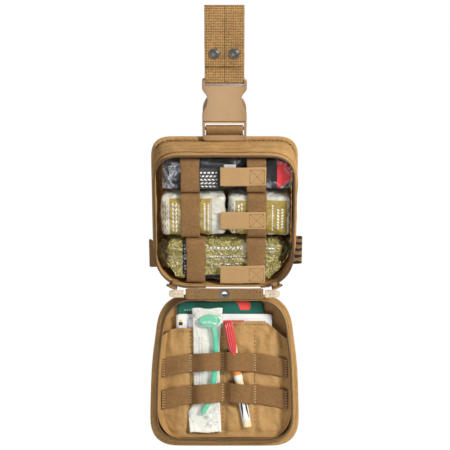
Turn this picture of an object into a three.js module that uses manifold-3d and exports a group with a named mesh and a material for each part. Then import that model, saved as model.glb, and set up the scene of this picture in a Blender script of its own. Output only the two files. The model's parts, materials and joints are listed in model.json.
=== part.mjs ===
// Drop-leg trauma kit: a clamshell pouch that hangs from a belt on two snap-down webbing loops and a
// side-release buckle. It is shown open, with its dressings, wrapped tourniquet, airway and needle case.
// Millimetres. +Z is up, +X is the wearer-facing observer's right and -Y is the open front of the pouch.
// The origin is the underside of the belt loops' top fold, where the belt carries the whole kit.
import * as THREE from "three";
import { mergeVertices } from "three/addons/utils/BufferGeometryUtils.js";
import { RoundedBoxGeometry } from "three/addons/geometries/RoundedBoxGeometry.js";
import Module from "manifold-3d";

const wasm = await Module();
wasm.setup();

// ---------------------------------------------------------------- driving dimensions
const GAP = 0.35; // air between two pieces that touch on the real kit
const RAD = Math.PI / 180;

const WEB_WIDTH = 25; // belt strap webbing
const WEB_THICK = 1.8;
const STRAP_GAP = 1.2; // between the two belt straps
const BELT_ROOM = 7.4; // clear depth inside a belt loop
const FLAP_LENGTH = 79; // belt loop top to the flap's free end
const SNAP_Z = -61;
const SNAP_RADIUS = 6;
const SNAP_POST = 1.9;
const SNAP_STACK = 3.5; // strap to flap where they snap together

const BUCKLE_HALF = 29.5;
const BUCKLE_THICK = 11;
const BUCKLE_WALL = 2.4;
const SLOT_HALF = 26; // webbing slots of socket and plug
const BAR_Y = 0.7;
const BAR_Z = -98.2; // socket's webbing bar
const BAR_HALF = 1.6; // the bar is square, twice this on a side
const SOCKET_LENGTH = 54; // bar to the socket's mouth
const PLUG_BAR_Y = 0.5;
const PLUG_BAR_Z = -163; // plug's webbing bar, which the pouch swings on
const PLUG_BAR = 4;
const PLUG_BOTTOM = -179.2;
const PLUG_THICK = 9;
const PRONG_TRAVEL = 8; // degrees of squeeze
const DROP_WIDTH = 50; // webbing from the pouch to the plug

const LID_TILT = 20; // degrees the open lid leans forward of straight down
const RIM_GAP = 0.75; // each rim stands this far off the hinge plane
const RIM_NEAR = 8; // hinge line to the near edge of either rim
const RIM_FAR = 194;
const RIM_HALF = 93;
const CORNER_RADIUS = 45; // of the rim's corners by the hinge
const WALL = 2.5; // padded side wall
const ZIP_DEPTH = 4;
const ZIP_WIDTH = 3.2;
const BACK_HALF_WIDTH = RIM_HALF + 5.5;
const BACK_TOP = RIM_FAR + 11; // hinge line to the top edge of the back panel
const PANEL_TOP = -175; // how far that edge hangs below the belt
const BACK_THICK = 7;
const HINGE_Y = -52; // the lid folds about this line, in the plane of the zip
const HINGE_Z = PANEL_TOP - BACK_TOP;
const LID_HALF_WIDTH = RIM_HALF + 8;
const LID_FAR = RIM_FAR + 18;
const LID_DEPTH = 26;
const LID_THICK = 5;
const SEAM_INSET = 5; // side wall is sewn this far inside the panel's edge
const OUTLINE_STEPS = 72;

const ROW_EDGES = [-190.6, -240.5, -303.5, -368.6]; // elastic bands are sewn down at these heights
const BAND_THICK = 1.4;
const BAND_WIDTH = 26;
const BAND_FRONT = -43.6; // back face of the stretched bands
const BAND_LEFT_X = [-45.4, -45.4, -38.6]; // centre of the left band in each row
const BAND_RIGHT_X = [42, 43, 42];
const PACK_FRONT = BAND_FRONT + 0.8;
const PACK_BACK = -2;
const TAB_THICK = 1.3;
const TAB_LENGTH = 61;
const TAB_SEWN = 24;
const TABS = { top: [-216, 26], middle: [-277, 25], bottom: [-354.5, 26] }; // centre height, width

const THIGH_WIDTH = 40;
const THIGH_Z = -342;
const THIGH_LEFT = -BACK_HALF_WIDTH - 2.5;
const THIGH_RIGHT = BACK_HALF_WIDTH + 5.5;
const THIGH_FOLD = 2.6; // centreline radius of the folded ends
const KEEPER_X = 46;

const FLAP_HALF = RIM_HALF - 40; // fabric strip between the two halves
const FLAP_HEIGHT = 15;
const FLAP_THICK = 2;
const SLIDER_PARK = 27; // degrees round the corner from the hinge side
const GROMMET_RADIUS = 7;
const GROMMET_BORE = 3.5;

const POCKET_Y = LID_DEPTH - 8.3; // back face of the inner pocket, in the lid's frame
const POCKET_THICK = 1.5;
const BAND_LIFT = 11.3; // how far its bands stand off over the airway and the needle case
const POCKET_BANDS = { upper: [-92, 26], lower: [-135, 27] }; // centre height, width
const POCKET_SAG = 11; // the bands' ends hang this much lower than their middles
const NEEDLE_Y = POCKET_Y - 7.6;
const NEEDLE_TOP = [4.4, -38];
const NEEDLE_END = [31.5, -182];
const NEEDLE_RADIUS = 4.8;
const CAP_RADIUS = 5.5;
const CAP_TRAVEL = 12;

// ---------------------------------------------------------------- materials
const paint = (color, roughness, metalness = 0) =>
  new THREE.MeshStandardMaterial({ color, roughness, metalness });
const coyote = paint(0xb08a58, 0.9);
const coyoteDark = paint(0x8f6c43, 0.92);
const webbing = paint(0xb78f5a, 0.85);
const elastic = paint(0x94704a, 0.9);
const tan = paint(0xc9a273, 0.6);
const cream = paint(0xdccbae, 0.8);
const moulded = paint(0xb9905f, 0.45);
const blackMetal = paint(0x2b2a28, 0.35, 0.8);
const zipMetal = paint(0x3a2c20, 0.45, 0.6);
const zipCoil = paint(0x5b4229, 0.6);
const blackNylon = paint(0x222226, 0.75);
const blackPlastic = paint(0x1c1c1f, 0.4);
const redPlastic = paint(0xd93a40, 0.4);
const clearFilm = paint(0xd8dadd, 0.15);
const whiteFilm = paint(0xf0eee6, 0.35);
const oliveFoil = paint(0x8f8a4e, 0.3);
const greenCard = paint(0x0f5a45, 0.4);
const whiteCard = paint(0xf2f0ec, 0.5);
const airwayGreen = paint(0x5fcf9f, 0.3);
const tubeYellow = paint(0xe9d9a4, 0.35);
const labelWhite = paint(0xefefec, 0.6);

// ---------------------------------------------------------------- shape helpers
function piece(name, geometry, material) {
  const mesh = new THREE.Mesh(geometry, material);
  mesh.name = name;
  return mesh;
}

// A closed outline through [x, z, cut] corners, each rounded from cut before it to cut after it.
function roundedOutline(corners) {
  const at = corners.map(([x, z]) => new THREE.Vector2(x, z));
  const shape = new THREE.Shape();
  corners.forEach(([x, z, cut], i) => {
    const before = at[(i + at.length - 1) % at.length].clone().sub(at[i]).normalize();
    const after = at[(i + 1) % at.length].clone().sub(at[i]).normalize();
    const enter = at[i].clone().addScaledVector(before, cut);
    const leave = at[i].clone().addScaledVector(after, cut);
    if (i === 0) shape.moveTo(enter.x, enter.y);
    else shape.lineTo(enter.x, enter.y);
    if (cut > 0) shape.quadraticCurveTo(x, z, leave.x, leave.y);
  });
  shape.closePath();
  return shape;
}

// A plate whose outline is drawn in x and z, with its back face at yBack.
function plate(shape, yBack, thick, bevel = 0, curveSegments = 6) {
  const geometry = new THREE.ExtrudeGeometry(shape, {
    depth: thick - 2 * bevel,
    bevelEnabled: bevel > 0,
    bevelThickness: bevel,
    bevelSize: bevel,
    bevelOffset: -bevel,
    bevelSegments: 2,
    curveSegments,
  });
  return geometry.rotateX(Math.PI / 2).translate(0, yBack - bevel, 0);
}

// The outline of a strip of the given thickness along a line of points.
function ribbonShape(points, thick) {
  const at = points.map(([a, b]) => new THREE.Vector2(a, b));
  const side = (sign) =>
    at.map((p, i) => {
      const before = at[Math.max(i - 1, 0)];
      const after = at[Math.min(i + 1, at.length - 1)];
      const into = p.clone().sub(before);
      const out = after.clone().sub(p);
      if (i === 0) into.copy(out);
      if (i === at.length - 1) out.copy(into);
      into.normalize();
      out.normalize();
      const normal = new THREE.Vector2(-into.y - out.y, into.x + out.x).normalize();
      const miter = 1 / Math.max(0.5, normal.dot(new THREE.Vector2(-out.y, out.x)));
      return p.clone().addScaledVector(normal, (sign * miter * thick) / 2);
    });
  return new THREE.Shape([...side(1), ...side(-1).reverse()]);
}

const SIDE_VIEW = new THREE.Matrix4().makeBasis(
  new THREE.Vector3(0, 1, 0),
  new THREE.Vector3(0, 0, 1),
  new THREE.Vector3(1, 0, 0),
);

// A strap drawn as [y, z] points from the side and as wide as x0 to x1.
function strap(points, thick, x0, x1) {
  const shape = ribbonShape(points, thick);
  const geometry = new THREE.ExtrudeGeometry(shape, { depth: x1 - x0, bevelEnabled: false });
  return geometry.applyMatrix4(SIDE_VIEW).translate(x0, 0, 0);
}

// A strap drawn as [x, y] points from above and as tall as z0 to z1.
function bandAcross(points, thick, z0, z1) {
  const shape = ribbonShape(points, thick);
  return new THREE.ExtrudeGeometry(shape, { depth: z1 - z0, bevelEnabled: false }).translate(0, 0, z0);
}

function arcPoints(cy, cz, radius, from, to, steps) {
  return Array.from({ length: steps + 1 }, (_, i) => {
    const angle = (from + ((to - from) * i) / steps) * RAD;
    return [cy + radius * Math.cos(angle), cz + radius * Math.sin(angle)];
  });
}

function box(x0, x1, y0, y1, z0, z1) {
  return new THREE.BoxGeometry(x1 - x0, y1 - y0, z1 - z0).translate(
    (x0 + x1) / 2,
    (y0 + y1) / 2,
    (z0 + z1) / 2,
  );
}

function softBox(x0, x1, y0, y1, z0, z1, radius, segments = 3) {
  return new RoundedBoxGeometry(x1 - x0, y1 - y0, z1 - z0, segments, radius).translate(
    (x0 + x1) / 2,
    (y0 + y1) / 2,
    (z0 + z1) / 2,
  );
}

// A turned piece whose [radius, forward] profile closes on the axis or on itself, facing -Y.
function turned(profile, x, y, z, segments = 20) {
  const points = profile.map(([r, h]) => new THREE.Vector2(r, h));
  return new THREE.LatheGeometry(points, segments).rotateX(Math.PI).translate(x, y, z);
}

function solid(geometry) {
  const bare = geometry.clone();
  for (const name of Object.keys(bare.attributes)) if (name !== "position") bare.deleteAttribute(name);
  const merged = mergeVertices(bare.index ? bare.toNonIndexed() : bare, 1e-3);
  return new wasm.Manifold(
    new wasm.Mesh({
      numProp: 3,
      vertProperties: merged.attributes.position.array,
      triVerts: new Uint32Array(merged.index.array),
    }),
  );
}

function fromSolid(made) {
  const mesh = made.getMesh();
  return new THREE.BufferGeometry()
    .setAttribute("position", new THREE.BufferAttribute(new Float32Array(mesh.vertProperties), 3))
    .setIndex(new THREE.BufferAttribute(new Uint32Array(mesh.triVerts), 1));
}

const cut = (geometry, ...tools) =>
  fromSolid(tools.reduce((left, tool) => left.subtract(solid(tool)), solid(geometry)));
const join = (...all) => fromSolid(all.slice(1).reduce((sum, g) => sum.add(solid(g)), solid(all[0])));

// Equally spaced points along a closed outline, and the same line moved inwards.
function outlinePoints(shape, inset = 0) {
  const points = shape.getSpacedPoints(OUTLINE_STEPS).slice(0, OUTLINE_STEPS);
  const turn = THREE.ShapeUtils.isClockWise(points) ? -1 : 1;
  return points.map((p, i) => {
    const before = points[(i + OUTLINE_STEPS - 1) % OUTLINE_STEPS];
    const after = points[(i + 1) % OUTLINE_STEPS];
    const along = after.clone().sub(before).normalize();
    return new THREE.Vector2(p.x - turn * along.y * inset, p.y + turn * along.x * inset);
  });
}

// A side wall: each ring is [points, y], in order round the wall's section, joined into one closed tube.
function wallRing(rings) {
  const count = OUTLINE_STEPS;
  const position = rings.flatMap(([points, y]) => points.flatMap((p) => [p.x, y, p.y]));
  const index = [];
  rings.forEach((_, r) => {
    const next = (r + 1) % rings.length;
    for (let i = 0; i < count; i++) {
      const j = (i + 1) % count;
      const a = r * count + i;
      const b = r * count + j;
      const c = next * count + i;
      const d = next * count + j;
      index.push(a, b, d, a, d, c);
    }
  });
  const geometry = new THREE.BufferGeometry()
    .setAttribute("position", new THREE.Float32BufferAttribute(position, 3))
    .setIndex(index);
  return solid(geometry).volume() > 0 ? geometry : flipped(geometry);
}

function flipped(geometry) {
  const index = Array.from(geometry.index.array);
  for (let i = 0; i < index.length; i += 3) [index[i + 1], index[i + 2]] = [index[i + 2], index[i + 1]];
  return geometry.clone().setIndex(index);
}

// Outline of one half of the clamshell, from the hinge line: round corners by the hinge, where the zip
// ends, and tighter ones at the far edge. up is +1 for the back half, which rises, and -1 for the lid.
function halfOutline(halfWidth, near, far, farCut, up) {
  const bend = CORNER_RADIUS + RIM_NEAR - near; // concentric with the rim's own corner
  const centre = halfWidth - bend;
  const shape = new THREE.Shape();
  const corner = Array.from({ length: 13 }, (_, i) => {
    const angle = (i * 7.5 - 90) * RAD;
    return [centre + bend * Math.cos(angle), up * (near + bend + bend * Math.sin(angle))];
  });
  shape.moveTo(-corner[0][0], corner[0][1]);
  corner.forEach(([x, z]) => shape.lineTo(x, z));
  shape.lineTo(halfWidth, up * (far - farCut));
  shape.quadraticCurveTo(halfWidth, up * far, halfWidth - farCut, up * far);
  shape.lineTo(-halfWidth + farCut, up * far);
  shape.quadraticCurveTo(-halfWidth, up * far, -halfWidth, up * (far - farCut));
  [...corner].reverse().slice(0, -1).forEach(([x, z]) => shape.lineTo(-x, z));
  shape.closePath();
  return shape;
}

// The zip's coil and tape edge: the rim's outline without its hinge side.
function zipBand(rim, up, yBack) {
  const outer = outlinePoints(rim, -0.2);
  const inner = outlinePoints(rim, ZIP_WIDTH);
  const start = outer.findIndex((p) => up * p.y > RIM_NEAR + 2.5);
  const order = outer.map((_, i) => (i + start) % OUTLINE_STEPS);
  const kept = order.filter((i) => up * outer[i].y > RIM_NEAR + 2.5);
  const loop = [...kept.map((i) => outer[i]), ...kept.map((i) => inner[i]).reverse()];
  return plate(new THREE.Shape(loop), yBack, ZIP_DEPTH - GAP);
}

// ---------------------------------------------------------------- belt loops and snaps
const loopRadius = BELT_ROOM / 2 + WEB_THICK / 2;
const loopCentreY = -0.6;
const loopCentreZ = -BELT_ROOM / 2;
const backLegY = loopCentreY + loopRadius;
const frontLegY = loopCentreY - loopRadius;
const foldRadius = BAR_HALF * Math.SQRT2 + GAP + WEB_THICK / 2;
const tailY = backLegY - WEB_THICK - GAP;
const flapTopZ = loopCentreZ - 1; // the flap folds here
const flapRestY = tailY - WEB_THICK - SNAP_STACK; // flap's centreline where it snaps down

function beltStrap(side) {
  const inner = (side * STRAP_GAP) / 2;
  const x0 = Math.min(inner, inner + side * WEB_WIDTH);
  const snapX = inner + (side * WEB_WIDTH) / 2;
  const group = new THREE.Group();
  const word = side < 0 ? "left" : "right";

  // One length of webbing: sewn tail, round the buckle bar, up the back and over the belt.
  const path = [
    [tailY, SNAP_Z + 9],
    [tailY, BAR_Z + 15],
    [BAR_Y - foldRadius + 0.6, BAR_Z + 5],
    ...arcPoints(BAR_Y, BAR_Z, foldRadius, 180, 360, 10),
    [backLegY, BAR_Z + 6],
    ...arcPoints(loopCentreY, loopCentreZ, loopRadius, 0, 176, 12),
  ];
  const hole = new THREE.CylinderGeometry(SNAP_POST + 0.3, SNAP_POST + 0.3, 12, 16).translate(snapX, 3, SNAP_Z);
  group.add(piece(`belt_strap_${word}`, cut(strap(path, WEB_THICK, x0, x0 + WEB_WIDTH), hole), webbing));

  // Stud riveted through both layers of the strap.
  const studFront = tailY - WEB_THICK / 2 - GAP;
  const studBack = backLegY + WEB_THICK / 2 + GAP;
  const stud = [
    [0, -(studBack + 1.2)],
    [4, -(studBack + 1.2)],
    [4, -studBack],
    [SNAP_POST, -studBack],
    [SNAP_POST, -studFront],
    [4.2, -studFront],
    [4.2, -studFront + 0.6],
    [2.1, -studFront + 0.8],
    [2.6, -studFront + 1.5],
    [0, -studFront + 1.8],
  ];
  group.add(piece(`snap_stud_${word}`, turned(stud, snapX, 0, SNAP_Z), blackMetal));
  return group;
}

function beltFlap(side) {
  const inner = (side * STRAP_GAP) / 2;
  const x0 = Math.min(inner, inner + side * WEB_WIDTH);
  const snapX = inner + (side * WEB_WIDTH) / 2;
  const group = new THREE.Group();
  const word = side < 0 ? "left" : "right";
  const path = [
    [frontLegY, flapTopZ],
    [frontLegY, -40],
    [frontLegY + 1.2, -46],
    [flapRestY - 0.6, -51],
    [flapRestY, -55],
    [flapRestY, -FLAP_LENGTH],
  ];
  const hole = new THREE.CylinderGeometry(SNAP_POST + 0.3, SNAP_POST + 0.3, 12, 16).translate(
    snapX,
    flapRestY,
    SNAP_Z,
  );
  group.add(piece(`belt_flap_${word}`, cut(strap(path, WEB_THICK, x0, x0 + WEB_WIDTH), hole), webbing));

  // Domed cap in front, socket behind, joined by a post through the flap.
  const capBack = -(flapRestY - WEB_THICK / 2) + GAP;
  const cupFront = -(flapRestY + WEB_THICK / 2) - GAP;
  const cap = [
    [0, cupFront - 0.6],
    [3.2, cupFront - 0.6],
    [3.2, cupFront - 2],
    [5, cupFront - 2],
    [5, cupFront],
    [SNAP_POST, cupFront],
    [SNAP_POST, capBack],
    [SNAP_RADIUS, capBack],
    [SNAP_RADIUS, capBack + 0.8],
    [SNAP_RADIUS - 1.1, capBack + 2],
    [SNAP_RADIUS - 3, capBack + 2.9],
    [0, capBack + 3.3],
  ];
  group.add(piece(`snap_cap_${word}`, turned(cap, snapX, 0, SNAP_Z, 24), blackMetal));
  return group;
}

// ---------------------------------------------------------------- side-release buckle
// The socket's outline, from its webbing bar at z = 0 down to its mouth, waisted where the prongs show.
function socketOutline() {
  const half = BUCKLE_HALF;
  const waist = half - 6.8;
  const right = [
    [half, 2.5, 3],
    [half, -12, 4],
    [waist, -19, 5],
    [waist, -30, 8],
    [half, -42, 5],
    [half, -SOCKET_LENGTH, 1.5],
  ];
  const left = right.map(([x, z, cut]) => [-x, z, cut]).reverse();
  return roundedOutline([...right, ...left]);
}

const WINDOW_TOP = -21;
const WINDOW_LOW = -42.5;

function buckleSocket() {
  const half = BUCKLE_THICK / 2;
  const room = half - BUCKLE_WALL;
  const body = plate(socketOutline(), half, BUCKLE_THICK, 0.9, 4);
  const slot = box(-SLOT_HALF, SLOT_HALF, -9, 9, -6, -BAR_HALF);
  const barFront = box(-SLOT_HALF, SLOT_HALF, -9, -BAR_HALF, -3, 4);
  const barBack = box(-SLOT_HALF, SLOT_HALF, BAR_HALF, 9, -3, 4);
  const inner = BUCKLE_HALF - BUCKLE_WALL;
  const mouth = box(-inner, inner, -room, room, -SOCKET_LENGTH - 1, WINDOW_LOW - 1);
  const chamber = box(-18.5, 18.5, -room, room, WINDOW_LOW - 2, -13);
  const windows = box(-40, 40, -room, room, WINDOW_LOW, WINDOW_TOP);
  const throat = box(-inner + 3.4, inner - 3.4, -room, room, WINDOW_LOW - 2, WINDOW_LOW + 1);
  const made = cut(body, slot, barFront, barBack, mouth, chamber, windows, throat);
  return piece("buckle_socket", made, moulded).translateY(BAR_Y).translateZ(BAR_Z);
}

function bucklePlug() {
  const yFront = BAR_Y - PLUG_THICK / 2;
  const yBack = BAR_Y + PLUG_THICK / 2;
  const room = BUCKLE_THICK / 2 - BUCKLE_WALL - 0.4;
  const mouthZ = BAR_Z - SOCKET_LENGTH;
  const frameTop = mouthZ - 0.6;
  const outline = roundedOutline([
    [-BUCKLE_HALF, frameTop, 2],
    [BUCKLE_HALF, frameTop, 2],
    [BUCKLE_HALF - 0.4, PLUG_BOTTOM, 5],
    [-BUCKLE_HALF + 0.4, PLUG_BOTTOM, 5],
  ]);
  const frame = plate(outline, yBack, PLUG_THICK, 0.7, 4);
  const barTop = PLUG_BAR_Z + PLUG_BAR / 2;
  const barLow = PLUG_BAR_Z - PLUG_BAR / 2;
  const upperSlot = box(-SLOT_HALF, SLOT_HALF, -15, 15, barTop, frameTop - 2.2);
  const lowerSlot = box(-SLOT_HALF, SLOT_HALF, -15, 15, -171.6, barLow);
  const barFront = box(-SLOT_HALF, SLOT_HALF, -15, PLUG_BAR_Y - PLUG_BAR / 2, barLow - 1, barTop + 1);
  const barBack = box(-SLOT_HALF, SLOT_HALF, PLUG_BAR_Y + PLUG_BAR / 2, 15, barLow - 1, barTop + 1);
  const panelRoom = box(-40, 40, -1.2, 15, PLUG_BOTTOM - 2, -171);
  const ladder = cut(frame, upperSlot, lowerSlot, barFront, barBack, panelRoom);
  const foot = box(-24.6, 24.6, BAR_Y - room, BAR_Y + room, frameTop - 1, mouthZ + 4);
  const guide = softBox(-4.5, 4.5, BAR_Y - room, BAR_Y + room, mouthZ + 2, mouthZ + 33, 1.5, 1);
  return piece("buckle_plug", join(ladder, foot, guide), moulded);
}

function buckleProng(side) {
  const room = BUCKLE_THICK / 2 - BUCKLE_WALL - 0.5;
  const root = BAR_Z - SOCKET_LENGTH + 4.5;
  const shoulder = BAR_Z + WINDOW_LOW + 0.6;
  const shape = new THREE.Shape();
  shape.moveTo(side * 18.4, root);
  shape.lineTo(side * 23.2, root);
  shape.lineTo(side * 23.2, shoulder);
  shape.lineTo(side * 28.9, shoulder);
  shape.quadraticCurveTo(side * 29.4, shoulder + 10, side * 24.6, shoulder + 17);
  shape.quadraticCurveTo(side * 22, shoulder + 20.5, side * 19.6, shoulder + 17);
  shape.lineTo(side * 19.2, shoulder + 3);
  shape.closePath();
  const name = side < 0 ? "buckle_prong_left" : "buckle_prong_right";
  return piece(name, plate(shape, BAR_Y + room, 2 * room, 0, 6), moulded);
}

// Webbing from the pouch's back, up over the plug's bar and down behind its lower bar.
function dropWebbing() {
  const wrap = PLUG_BAR * 0.71 + GAP + WEB_THICK / 2;
  const legY = BACK_THICK + GAP + WEB_THICK / 2 + 0.1;
  const path = [
    [legY, -252],
    [legY, -176.4],
    [legY - 1.6, -171.5],
    ...arcPoints(PLUG_BAR_Y, PLUG_BAR_Z, wrap, -8, 212, 14),
    [PLUG_BAR_Y - 0.6, PLUG_BAR_Z - 5.9],
    [PLUG_BAR_Y + 2.4, PLUG_BAR_Z - 10],
  ];
  return piece("drop_webbing", strap(path, WEB_THICK, -DROP_WIDTH / 2, DROP_WIDTH / 2), webbing);
}

// ---------------------------------------------------------------- pouch shell, back half
// Its outlines are drawn from the hinge line, so its group sits there.
function backShell() {
  const group = new THREE.Group();
  group.position.set(0, 0, HINGE_Z);
  const panel = halfOutline(BACK_HALF_WIDTH, 2, BACK_TOP, 27, 1);
  const rim = halfOutline(RIM_HALF, RIM_NEAR, RIM_FAR, 34, 1);
  group.add(piece("back_panel", plate(panel, BACK_THICK, BACK_THICK, 2), coyote));

  const rimY = HINGE_Y + RIM_GAP;
  const wallFront = rimY + ZIP_DEPTH;
  const middle = (wallFront - GAP) / 2;
  const between = (inset) =>
    outlinePoints(panel, SEAM_INSET + inset).map((p, i) =>
      p.clone().lerp(outlinePoints(rim, inset)[i], 0.5),
    );
  const rings = [
    [outlinePoints(panel, SEAM_INSET), -GAP],
    [between(0), middle],
    [outlinePoints(rim, 0), wallFront],
    [outlinePoints(rim, WALL), wallFront],
    [between(WALL), middle],
    [outlinePoints(panel, SEAM_INSET + WALL), -GAP],
  ];
  group.add(piece("back_side_wall", wallRing(rings), coyote));
  group.add(piece("back_zip", zipBand(rim, 1, wallFront - GAP), zipCoil));
  return group;
}

// An elastic band: one loop per row of contents, sewn to the panel between the rows.
function elasticBand(name, centres) {
  const loops = centres.map((x, row) => {
    const top = ROW_EDGES[row] - BAND_THICK / 2 + (row ? 0.1 : 0);
    const low = ROW_EDGES[row + 1] + BAND_THICK / 2;
    const front = BAND_FRONT - BAND_THICK / 2;
    const path = [
      [-GAP, top],
      [front + 9, top],
      [front + 3.4, top - 0.8],
      [front + 0.6, top - 4],
      [front, top - 9],
      [front, low + 9],
      [front + 0.6, low + 4],
      [front + 3.4, low + 0.8],
      [front + 9, low],
      [-GAP, low],
    ];
    return strap(path, BAND_THICK, x - BAND_WIDTH / 2, x + BAND_WIDTH / 2);
  });
  return piece(name, join(...loops), elastic);
}

const tabFront = BAND_FRONT - BAND_THICK - GAP - TAB_THICK;
const tabFoldX = BAND_RIGHT_X[0] + BAND_WIDTH / 2 - TAB_SEWN;

function sewnTab(row, [z, width]) {
  const right = tabFoldX + TAB_SEWN;
  const made = box(tabFoldX + GAP, right, tabFront, tabFront + TAB_THICK, z - width / 2, z + width / 2);
  return piece(`pull_tab_${row}_sewn`, made, tan);
}

function freeTab(row, [z, width]) {
  const outline = roundedOutline([
    [tabFoldX - TAB_LENGTH + TAB_SEWN, z - width / 2, 2],
    [tabFoldX - GAP, z - width / 2, 0],
    [tabFoldX - GAP, z + width / 2, 0],
    [tabFoldX - TAB_LENGTH + TAB_SEWN, z + width / 2, 2],
  ]);
  return piece(`pull_tab_${row}_free`, plate(outline, tabFront + TAB_THICK, TAB_THICK, 0, 3), tan);
}

// ---------------------------------------------------------------- wrapped tourniquet, top row
const TQ = { left: -82, right: 88.5, top: -193, low: -238.4, back: -4, front: PACK_FRONT };

function tourniquet() {
  const group = new THREE.Group();
  const middleZ = (TQ.top + TQ.low) / 2;
  const film = 0.8;
  // Clear film sleeve, open at both crimped ends.
  const sleeveShape = (inset) =>
    roundedOutline([
      [TQ.back - inset, TQ.low + inset, 8],
      [TQ.front + inset, TQ.low + inset, 8],
      [TQ.front + inset, TQ.top - inset, 8],
      [TQ.back - inset, TQ.top - inset, 8],
    ]);
  const length = TQ.right - TQ.left;
  const tube = (inset) =>
    new THREE.ExtrudeGeometry(sleeveShape(inset), { depth: length, bevelEnabled: false, curveSegments: 4 })
      .applyMatrix4(SIDE_VIEW)
      .translate(TQ.left, 0, 0);
  const inside = tube(film).translate(TQ.left, 0, 0).scale(1.1, 1, 1).translate(-TQ.left * 1.1, 0, 0);
  const ends = roundedOutline([
    [TQ.left, TQ.low, 4],
    [TQ.right, TQ.low, 4],
    [TQ.right, TQ.top, 21],
    [TQ.left, TQ.top, 21],
  ]);
  const trimmed = solid(cut(tube(0), inside)).intersect(solid(plate(ends, 0, 50)));
  group.add(piece("tourniquet_film", fromSolid(trimmed), clearFilm));

  // The strap itself, folded flat in layers.
  const stackFront = -30;
  const stack = softBox(-79, 85, stackFront, TQ.back - 2, middleZ - 19, middleZ + 19, 5, 2);
  group.add(piece("tourniquet_strap", stack, blackNylon));

  // Red end of the strap.
  const tip = new THREE.Shape();
  tip.moveTo(68, middleZ - 17.5);
  tip.quadraticCurveTo(84.5, middleZ - 14, 84.5, middleZ);
  tip.quadraticCurveTo(84.5, middleZ + 14, 68, middleZ + 17.5);
  tip.closePath();
  group.add(piece("tourniquet_red_tip", plate(tip, stackFront - GAP, 3, 0.8, 8), redPlastic));

  // Stiffening plate with the two-eared clip that locks the windlass.
  const plateBack = stackFront - GAP;
  const base = box(-44, 24, plateBack - 2, plateBack, middleZ - 15, middleZ + 15);
  const ear = (z) => box(-2, 16, plateBack - 9.4, plateBack - 1, z - 1.2, z + 1.2);
  group.add(
    piece("windlass_clip", join(base, ear(middleZ - 6.6), ear(middleZ + 6.6)), blackPlastic),
  );
  const rodRadius = 3.6;
  const rod = new THREE.CapsuleGeometry(rodRadius, 92, 3, 12).rotateZ(Math.PI / 2);
  rod.translate(-8, plateBack - 2 - GAP - rodRadius, middleZ);
  group.add(piece("windlass_rod", rod, blackPlastic));

  // White strap for writing the time, closed over the clip.
  const cover = plateBack - 9.4 - GAP;
  const time = box(-1, 15, cover - 1, cover, middleZ - 15, middleZ + 15);
  group.add(piece("time_strap", time, labelWhite));
  return group;
}

// ---------------------------------------------------------------- dressings, middle and bottom rows
function dressings() {
  const group = new THREE.Group();
  const [, second, third, floor] = ROW_EDGES;
  const legRoom = BAND_THICK + 0.9;
  const pack = (name, x0, x1, z0, z1, radius, material) =>
    group.add(piece(name, softBox(x0, x1, PACK_FRONT, PACK_BACK, z0, z1, radius), material));
  pack("gauze_pack_left", -85, 2.4, third + legRoom, second - legRoom, 7, whiteFilm);
  pack("gauze_pack_right", 4.2, 88.5, third + legRoom, second - legRoom, 7, whiteFilm);
  const low = floor + legRoom;
  const top = third - legRoom;
  const foil = roundedOutline([
    [-80, top, 7],
    [79, top, 7],
    [79, low + 31, 9],
    [49, low, 9],
    [-49, low, 9],
    [-80, low + 31, 9],
  ]);
  const thick = PACK_BACK - PACK_FRONT;
  group.add(piece("dressing_pack", plate(foil, PACK_BACK, thick, 4, 3), oliveFoil));
  return group;
}

// ---------------------------------------------------------------- thigh strap, stowed behind the panel
function thighStrap() {
  const group = new THREE.Group();
  const y = BACK_THICK + 2.6 + THIGH_FOLD;
  const left = THIGH_LEFT + THIGH_FOLD + 1;
  const right = THIGH_RIGHT - THIGH_FOLD - 1;
  const loop = [
    ...arcPoints(left, y, THIGH_FOLD, 90, 270, 8),
    ...arcPoints(right, y, THIGH_FOLD, -90, 90, 8),
    [-20, y + THIGH_FOLD],
  ];
  const z0 = THIGH_Z - THIGH_WIDTH / 2;
  group.add(piece("thigh_strap", bandAcross(loop, 2, z0, z0 + THIGH_WIDTH), elastic));
  for (const side of [-1, 1]) {
    const front = BACK_THICK + GAP + 0.7;
    const rear = y + THIGH_FOLD + 1 + GAP + 0.7;
    const path = [
      [front, z0 + THIGH_WIDTH + 14],
      [front, z0 + THIGH_WIDTH + 5],
      [rear, z0 + THIGH_WIDTH + 1.6],
      [rear, z0 - 1.6],
      [front, z0 - 5],
      [front, z0 - 12],
    ];
    const x = side * KEEPER_X;
    const name = side < 0 ? "strap_keeper_left" : "strap_keeper_right";
    group.add(piece(name, strap(path, 1.4, x - 12.5, x + 12.5), webbing));
  }
  return group;
}

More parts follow.
